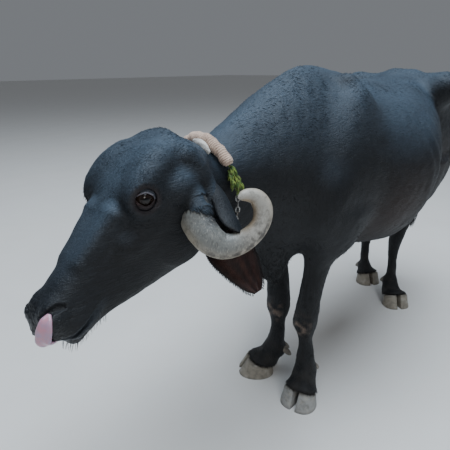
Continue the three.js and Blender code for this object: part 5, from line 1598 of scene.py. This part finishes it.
# Coat: tufts
def unwrap(p):
    """Where a place on the skin lies on a flat map of the body, each part in its own field of the map"""
    x, y, z = p.T
    q = to_head(p)
    around = np.arctan2(y, z - 0.97) / (2 * math.pi) + 0.5
    u = 0.03 + 0.5 * np.clip((x + 1.0) / 2.2, 0, 1)
    v = 0.03 + 0.44 * around
    on_head = (q[:, 0] > -0.03) & (z > HEAD_LOWEST)
    turn = np.arctan2(q[:, 1], q[:, 2] + 0.17) / (2 * math.pi) + 0.5
    u = np.where(on_head, 0.57 + 0.4 * np.clip((q[:, 0] + 0.1) / 0.75, 0, 1), u)
    v = np.where(on_head, 0.03 + 0.44 * turn, v)
    low = z < 0.6
    for n, leg in enumerate(LEGS.values()):
        place = curve_of(leg["path"])(z)
        dx, dy = x - place[:, 1], y - place[:, 2]
        mine = low & (np.hypot(dx, dy) < 0.14)
        spin = np.arctan2(dy, dx) / (2 * math.pi) + 0.5
        u = np.where(mine, 0.03 + 0.24 * n + 0.2 * spin, u)
        v = np.where(mine, 0.52 + 0.44 * np.clip(z / 0.6, 0, 1), v)
    on_tail = (x < TAIL_FRONT) & (z < 1.2)
    spin = np.arctan2(y + 0.055, x + 0.92) / (2 * math.pi) + 0.5
    u = np.where(on_tail, 0.56 + 0.4 * np.clip((1.25 - z) / 0.8, 0, 1), u)
    v = np.where(on_tail, 0.48 + 0.025 * spin, v)
    return np.stack([u, v], 1)


def lock_mesh(paths, halves, facing):
    """Tapered locks of three sides along paths of places, each with its back turned to facing"""
    count, stations = paths.shape[:2]
    tangent = unit(np.gradient(paths, axis=1))
    across = unit(np.cross(facing[:, None], tangent))
    rise = np.cross(tangent, across)
    body_of_lock = slice(0, stations - 1)
    wide = halves[:, body_of_lock, None]
    centre = paths[:, body_of_lock]
    aside = across[:, body_of_lock] * wide
    ridge = centre + rise[:, body_of_lock] * wide * 0.55
    corners = np.stack([centre - aside, ridge, centre + aside], 2).reshape(count, -1, 3)
    places = np.concatenate([corners, paths[:, -1:]], 1)
    size = places.shape[1]
    rows = np.linspace(0, 1, stations)
    flat = np.array([(spot, row) for row in rows[:-1] for spot in (0, 0.5, 1)] + [(0.5, 1.0)])
    faces = []
    for s in range(0, 3 * (stations - 2), 3):
        for a, b in ((0, 1), (1, 2), (2, 0)):
            faces += [(s + a, s + b, s + 3 + b), (s + a, s + 3 + b, s + 3 + a)]
    tip = size - 1
    faces += [(tip - 3, tip - 2, tip), (tip - 2, tip - 1, tip), (tip - 1, tip - 3, tip), (0, 2, 1)]
    base = (np.arange(count) * size)[:, None, None]
    return places.reshape(-1, 3), (np.array(faces) + base).reshape(-1, 3), flat, size


LOCK_STATIONS = np.array((0, 0.36, 0.72, 1.0))
LOCK_TAPER = np.array((1.0, 0.92, 0.55, 0))
LOCK_ROOT_DEPTH = 0.12


def tuft_paths(roots, normals, lies, lengths, lifts, curls):
    """Short locks rise from just under the skin and bend over along their lie"""
    t = LOCK_STATIONS
    across = np.cross(normals, lies)
    height = lengths[:, None] * (lifts[:, None] * (t - 0.55 * t * t) - LOCK_ROOT_DEPTH * (1 - t) ** 2)
    swing = lengths[:, None] * curls[:, None] * t * t
    ahead = lengths[:, None] * t
    return (roots[:, None] + lies[:, None] * ahead[..., None] + normals[:, None] * height[..., None]
            + across[:, None] * swing[..., None])


MAP_PATCH = 0.003


def make_coat(name, roots, paths, halves, facing, tones):
    """One piece of coat: locks along their paths, each with the tone and the place on the map of its root"""
    places, faces, flat, size = lock_mesh(paths, halves, facing)
    piece = mesh_object(name, places, faces[:, ::-1].copy(), COAT)
    give(piece, "tone", np.repeat(tones, size, 0))
    layer = piece.data.uv_layers.new(name="OFBake")
    spots = unwrap(roots)[:, None] + (flat - 0.5) * MAP_PATCH
    loops = np.empty(len(piece.data.loops), np.int32)
    piece.data.loops.foreach_get("vertex_index", loops)
    layer.data.foreach_set("uv", spots.reshape(-1, 2)[loops].astype(np.float32).ravel())
    return piece


def scattered(places, quads, normals, weight, count, seed):
    """Random roots on the skin, where weight says, with their normals"""
    draw = np.random.default_rng(seed)
    corners = places[quads]
    area = np.linalg.norm(np.cross(corners[:, 2] - corners[:, 0], corners[:, 3] - corners[:, 1]), axis=1) / 2
    share = area * np.clip(weight(corners.mean(1)), 0, None)
    if share.sum() <= 0:
        raise ValueError("no skin where these tufts should grow")
    pick = draw.choice(len(quads), count, p=share / share.sum())
    a, b = draw.random(count)[:, None], draw.random(count)[:, None]
    blend = np.stack([(1 - a) * (1 - b), a * (1 - b), a * b, (1 - a) * b], 1)
    roots = (corners[pick] * blend).sum(1)
    return roots, unit((normals[quads[pick]] * blend).sum(1)), draw


def along_skin(lie, n):
    """The part of a direction that runs along the skin"""
    return unit(lie - n * (lie * n).sum(1)[:, None])


def lie_of(p, n):
    """The way the hair lies: back and down over the trunk, down the legs, from the brow to the muzzle"""
    x, _, z = p.T
    q = to_head(p)
    lie = np.tile((-0.8, 0.0, -0.55), (len(p), 1))
    lie[z < 0.75] = (-0.1, 0, -1)
    neck = (x > 0.6) & (z > 0.75)
    lie[neck] = (-0.75, 0, -0.65)
    on_head = (q[:, 0] > -0.02) & (z > HEAD_LOWEST)
    lie[on_head] = HEAD_TURN @ np.array((0.9, 0, -0.2))
    lie[x < -0.86] = (0, 0, -1)
    return along_skin(lie, n)


def grow(name, weight, count, seed, length, half, lift, spread, lie=lie_of, light=1.0):
    """Short locks on the skin where weight says. Length and half width are in metres"""
    roots, normals, draw = scattered(skin_places, skin_quads, skin_normals, weight, count, seed)
    lies = lie(roots, normals)
    spin = draw.normal(0, spread, count)[:, None]
    lies = unit(lies * np.cos(spin) + np.cross(normals, lies) * np.sin(spin))
    lengths = length * draw.uniform(0.7, 1.25, count)
    lifts = lift * draw.uniform(0.6, 1.4, count)
    curls = draw.normal(0, 0.12, count)
    paths = tuft_paths(roots, normals, lies, lengths, lifts, curls)
    halves = half * draw.uniform(0.75, 1.2, count)[:, None] * LOCK_TAPER
    # the tufts take the hide's tone with its painted sky sheen
    tones = markings_and_painted_light(roots, normals)[0] * light * draw.uniform(0.75, 1.5, (count, 1))
    make_coat(name, roots, paths, halves, normals, tones)


def clear_of_face(q):
    """0 on the eyes, the nostrils, the mouth and the bare muzzle, 1 elsewhere"""
    clear = 1 - smooth(q[:, 0], 0.47, 0.52)
    for side in (1, -1):
        clear = clear * smooth(np.linalg.norm(q - mirrored(EYE_CENTRE, side), axis=1), 0.04, 0.05)
    return clear


def weight_crown(p):
    q = to_head(p)
    crown = (q[:, 0] > -0.06) * (q[:, 0] < 0.3) * smooth(q[:, 2], -0.1, -0.03)
    return crown * clear_of_face(q) * (p[:, 2] > 0.8)


def weight_face(p):
    q = to_head(p)
    return (q[:, 0] > 0.02) * (q[:, 0] < 0.52) * clear_of_face(q) * (p[:, 2] > HEAD_LOWEST)


def weight_chin(p):
    q = to_head(p)
    return (q[:, 0] > 0.46) * (q[:, 0] < 0.58) * (q[:, 2] < -0.19) * (p[:, 2] > 0.6)


def weight_horn_root(p):
    q = to_head(p)
    near = np.zeros(len(p))
    for side in (1, -1):
        edge = HORN_EDGE_AT - q @ mirrored(HORN_EDGE, side)
        axis = np.linalg.norm(q - mirrored((0.14, 0.14, -0.155), side), axis=1)
        near += bell(edge, 0.008, 0.008) * (edge > 0) * (axis < 0.075)
    return near


def weight_back(p):
    x, _, z = p.T
    back = smooth(z, 1.24, 1.3) * smooth(x, -0.85, -0.7) * (1 - smooth(x, 0.6, 0.7))
    top_of_neck = 0.8 * (x > 0.55) * (x < 0.9) * smooth(z, 1.14, 1.2)
    return back + top_of_neck


def weight_flank(p):
    x, y, z = p.T
    clear = 1 - smooth(np.abs(y), 0.335, 0.35)
    return (x < 0.85) * (x > -0.85) * smooth(z, 0.6, 0.75) * smooth(np.abs(y), 0.04, 0.1) * clear


def weight_under(p):
    x, y, z = p.T
    belly = (z < 0.66) * (z > 0.5) * (x > -0.3) * (x < 0.4) * bell(y, 0, 0.09)
    brisket = bell(x, 0.66, 0.08) * (z < 0.8) * (z > 0.54) * bell(y, 0, 0.07)
    elbow = bell(x, 0.4, 0.07) * bell(z, 0.7, 0.07) * 0.7
    return belly + 1.5 * brisket + elbow


def weight_thigh(p):
    x, _, z = p.T
    return (x < -0.6) * (x > -0.87) * smooth(z, 0.5, 0.6) * (1 - smooth(z, 1.0, 1.15))


def weight_leg(p):
    z = p[:, 2]
    return (z < 0.56) * (z > 0.1)


def weight_coronet(p):
    near = np.zeros(len(p))
    for leg in LEGS.values():
        heel, normal, _, _ = coronet_plane(leg)
        height = (p - heel) @ normal
        mine = np.hypot(p[:, 0] - leg["toe"][0], p[:, 1] - leg["toe"][1]) < 0.22
        near += mine * bell(height, 0.006, 0.008) * (p[:, 2] < 0.14)
    return near


def weight_tail(p):
    x, _, z = p.T
    return (x < TAIL_FRONT) * (z < 1.15) * (z > SWITCH_TOP)


def lie_of_chin(p, n):
    lie = np.broadcast_to(unit((0.25, 0, -1.0)), p.shape)
    return unit(lie - 0.5 * n * (lie * n).sum(1)[:, None])


def lie_over_horn(p, n):
    """From the crown out along the horn"""
    q = to_head(p)
    lie = np.array((0.3, 0, -0.75)) + np.array((0, 0.6, 0)) * np.sign(q[:, 1:2])
    return along_skin(lie @ HEAD_TURN.T, n)


def lie_down(p, n):
    return along_skin(np.broadcast_to(np.array((0.0, 0, -1.0)), p.shape), n)


def make_tufts():
    """Every part of the short coat: name, where, how many, seed, length, half width, lift and spread"""
    grow("coat_crown", weight_crown, 5600, 71, 0.011, 0.0008, 0.07, 0.25)
    grow("coat_face", weight_face, 6000, 72, 0.008, 0.0006, 0.04, 0.15)
    grow("coat_chin", weight_chin, 150, 73, 0.022, 0.0005, 0.5, 0.3, lie_of_chin, 2.0)
    grow("coat_horn_root", weight_horn_root, 1500, 74, 0.014, 0.0012, 0.22, 0.3, lie_over_horn)
    grow("coat_back", weight_back, 7000, 75, 0.017, 0.0014, 0.1, 0.25)
    grow("coat_flank", weight_flank, 11000, 76, 0.014, 0.0013, 0.07, 0.2)
    grow("coat_under", weight_under, 4200, 77, 0.024, 0.0013, 0.3, 0.4)
    grow("coat_thigh", weight_thigh, 3600, 78, 0.018, 0.0013, 0.18, 0.3)
    grow("coat_leg", weight_leg, 6400, 79, 0.013, 0.0012, 0.14, 0.25, lie_down)
    grow("coat_coronet", weight_coronet, 3600, 80, 0.016, 0.0013, 0.2, 0.3, lie_down)
    grow("coat_tail", weight_tail, 1500, 81, 0.02, 0.0012, 0.14, 0.2, lie_down)


def ear_hair(side, t, rings, opening):
    """Hair along both rims of an ear"""
    draw = np.random.default_rng(90 + side)
    count = 1500
    across = rings.shape[1] // 2
    row = draw.integers(4, len(t) - 1, count)
    rim = draw.random(count) < 0.5
    column = np.where(rim, 1, across - 2)
    roots = rings[row, column]
    neighbour = rings[row, np.where(rim, 4, across - 5)]
    away = unit(roots - neighbour)
    tangent = unit(rings[np.minimum(row + 1, len(t) - 1), across // 2] - rings[row - 1, across // 2])
    lies = unit(away * draw.uniform(0.1, 0.55, (count, 1)) + tangent)
    normals = unit(opening[row] - lies * (opening[row] * lies).sum(1)[:, None])
    lengths = 0.01 * draw.uniform(0.6, 1.3, count)
    lifts = draw.normal(0.05, 0.12, count)
    curls = draw.normal(0, 0.15, count)
    paths = tuft_paths(roots, normals, lies, lengths, lifts, curls)
    halves = 0.0008 * draw.uniform(0.7, 1.2, count)[:, None] * LOCK_TAPER
    tones = toward(np.tile(HIDE_BLACK * 1.5, (count, 1)), EAR_BROWN * 0.5, draw.random(count) * 0.5)
    make_coat(f"coat_ear_{side_word(side)}", roots, paths, halves, normals, tones)


def lashes(side):
    """Lashes along the upper lid"""
    draw = np.random.default_rng(95 + side)
    centre, out, slit, brow = eye_frame(side)
    count = 90
    turn = draw.uniform(0.25, math.pi - 0.25, count)
    edge = np.arcsin(almond(turn) / EYE_RADIUS)
    ring = eye_ring(turn, slit, brow)
    roots = centre + LASH_ROOT * (np.cos(edge)[:, None] * out + np.sin(edge)[:, None] * ring)
    lies = unit(out + ring * 0.25 - brow * 0.35 + draw.normal(0, 0.12, (count, 3)))
    normals = unit(brow - lies * (lies @ brow)[:, None])
    lengths = 0.011 * draw.uniform(0.7, 1.2, count)
    roots, normals, lies = from_head(roots), normals @ HEAD_TURN.T, lies @ HEAD_TURN.T
    droop = np.full(count, -0.3)
    paths = tuft_paths(roots, normals, lies, lengths, droop, draw.normal(0, 0.1, count))
    halves = np.full((count, 1), 0.00035) * np.array((1.0, 0.9, 0.5, 0))
    make_coat(f"coat_lashes_{side_word(side)}", roots, paths, halves, normals,
              np.tile(HIDE_BLACK, (count, 1)))


def make_switch():
    """The brush at the end of the tail: fine locks that hang, spread a little and end one by one"""
    draw = np.random.default_rng(61)
    low, high = (np.array(corner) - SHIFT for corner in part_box("tail_switch"))
    count, stations = 420, 11
    start = draw.uniform(0.84, 1.0, count)
    axis = spline(TAIL)(start)
    around = draw.uniform(0, 2 * math.pi, count)
    outward = np.stack([np.cos(around), np.sin(around), np.zeros(count)], 1)
    roots = axis + outward * 0.0125
    t = np.linspace(0, 1, stations)[:, None]
    bottom = low[2] + 0.006 + (draw.random(count) ** 1.6) * 0.2
    drop = roots[:, 2] - bottom
    wide = 0.012 + 0.02 * draw.random(count)
    bulge = np.sin(math.pi * np.clip(t * 0.85 + 0.08, 0, 1)) ** 0.8
    wave = 0.004 * np.sin(2 * math.pi * (t * draw.uniform(0.8, 1.8, count) + draw.random(count))) * t
    side = np.stack([-outward[:, 1], outward[:, 0], outward[:, 2]], 1)
    paths = roots[None] + outward[None] * (wide * bulge - 0.01 * t * t)[..., None]
    paths = paths + side[None] * wave[..., None]
    paths = paths + np.array((0, 0, -1.0)) * (drop * t)[..., None]
    inner = draw.random(count) < 0.35
    paths = paths - outward[None] * ((0.012 * t) * inner)[..., None]
    paths = paths.transpose(1, 0, 2)
    margin = 0.0015
    paths[..., 0] = np.clip(paths[..., 0], low[0] + margin, high[0] + 0.02)
    halves = draw.uniform(0.0011, 0.0019, count)[:, None] * (1 - 0.75 * np.linspace(0, 1, stations) ** 2)
    tones = np.tile(HIDE_BLACK, (count, 1)) * draw.uniform(0.9, 2.2, (count, 1))
    piece = make_coat("switch_fine", roots, paths, halves, outward, tones)
    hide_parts("tail_switch")


# Scene
def make_camera():
    """The camera of the photograph"""
    yaw, pitch, roll = (math.radians(a) for a in (CAMERA_YAW, CAMERA_PITCH, CAMERA_ROLL))
    ahead = Vector((math.cos(yaw) * math.cos(pitch), math.sin(yaw) * math.cos(pitch), math.sin(pitch)))
    right = ahead.cross(Vector((0, 0, 1))).normalized()
    up = right.cross(ahead)
    right, up = (right * math.cos(roll) + up * math.sin(roll), up * math.cos(roll) - right * math.sin(roll))
    data = bpy.data.cameras.new("camera")
    data.sensor_width = 36
    data.lens = FOCAL_PIXELS / PHOTO_PIXELS * data.sensor_width
    camera = bpy.data.objects.new("camera", data)
    bpy.context.scene.collection.objects.link(camera)
    turn = Matrix((right, up, -ahead)).transposed()
    camera.matrix_world = Matrix.Translation(Vector(CAMERA_PLACE) + Vector(SHIFT)) @ turn.to_4x4()
    bpy.context.scene.camera = camera


def make_light(name, place, target, size, power, color):
    data = bpy.data.lights.new(name, "AREA")
    data.shape = "DISK"
    data.size = size
    data.energy = power
    data.color = color
    light = bpy.data.objects.new(name, data)
    light.location = place
    light.rotation_mode = "QUATERNION"
    light.rotation_quaternion = (Vector(target) - Vector(place)).to_track_quat("-Z", "Y")
    bpy.context.scene.collection.objects.link(light)


FLOOR_HALF = 60.0
WORLD_TONE = (0.88, 0.93, 1.0, 1)
WORLD_STRENGTH = 0.21


def make_studio():
    """A pale floor, a soft even world, a wide light over the back and a small one beside the head"""
    mesh = bpy.data.meshes.new("floor")
    corners = [(FLOOR_HALF * x, FLOOR_HALF * y, 0) for x, y in ((-1, -1), (1, -1), (1, 1), (-1, 1))]
    mesh.from_pydata(corners, [], [(0, 1, 2, 3)])
    floor = bpy.data.objects.new("floor", mesh)
    bpy.context.scene.collection.objects.link(floor)
    floor.data.materials.append(floor_finish())
    world = bpy.data.worlds.new("studio")
    world.use_nodes = True
    background = world.node_tree.nodes["Background"]
    background.inputs["Color"].default_value = WORLD_TONE
    background.inputs["Strength"].default_value = WORLD_STRENGTH
    bpy.context.scene.world = world
    make_light("sky", place=(0.3, 0.4, 8.0), target=(0.1, 0, 0.9), size=6.5, power=920,
               color=(0.8, 0.9, 1.0))
    make_light("side", place=(2.6, 3.4, 2.6), target=(0.5, 0, 0.8), size=1.6, power=36,
               color=(1.0, 0.97, 0.93))


HIDE = hide_finish()
HORN_MATERIAL = horn_finish()
CLAW_MATERIAL = claw_finish()
make_camera()
make_studio()
skin_places, skin_quads, skin_normals = make_skin()
COAT = coat_finish()
for side in (1, -1):
    make_eye(side)
    make_lids(side)
    make_horn(side)
    ear_hair(side, *make_ear(side))
    lashes(side)
for name, leg in LEGS.items():
    outer_hand = 1 if name.startswith("left") else -1
    for word, hand in (("outer", outer_hand), ("inner", -outer_hand)):
        make_claw(f"claw_{name}_{word}", leg, hand)
        make_dewclaw(f"dewclaw_{name}_{word}", leg, hand)
make_tongue()
make_rope()
make_chain()
make_fibres()
make_tufts()
make_switch()
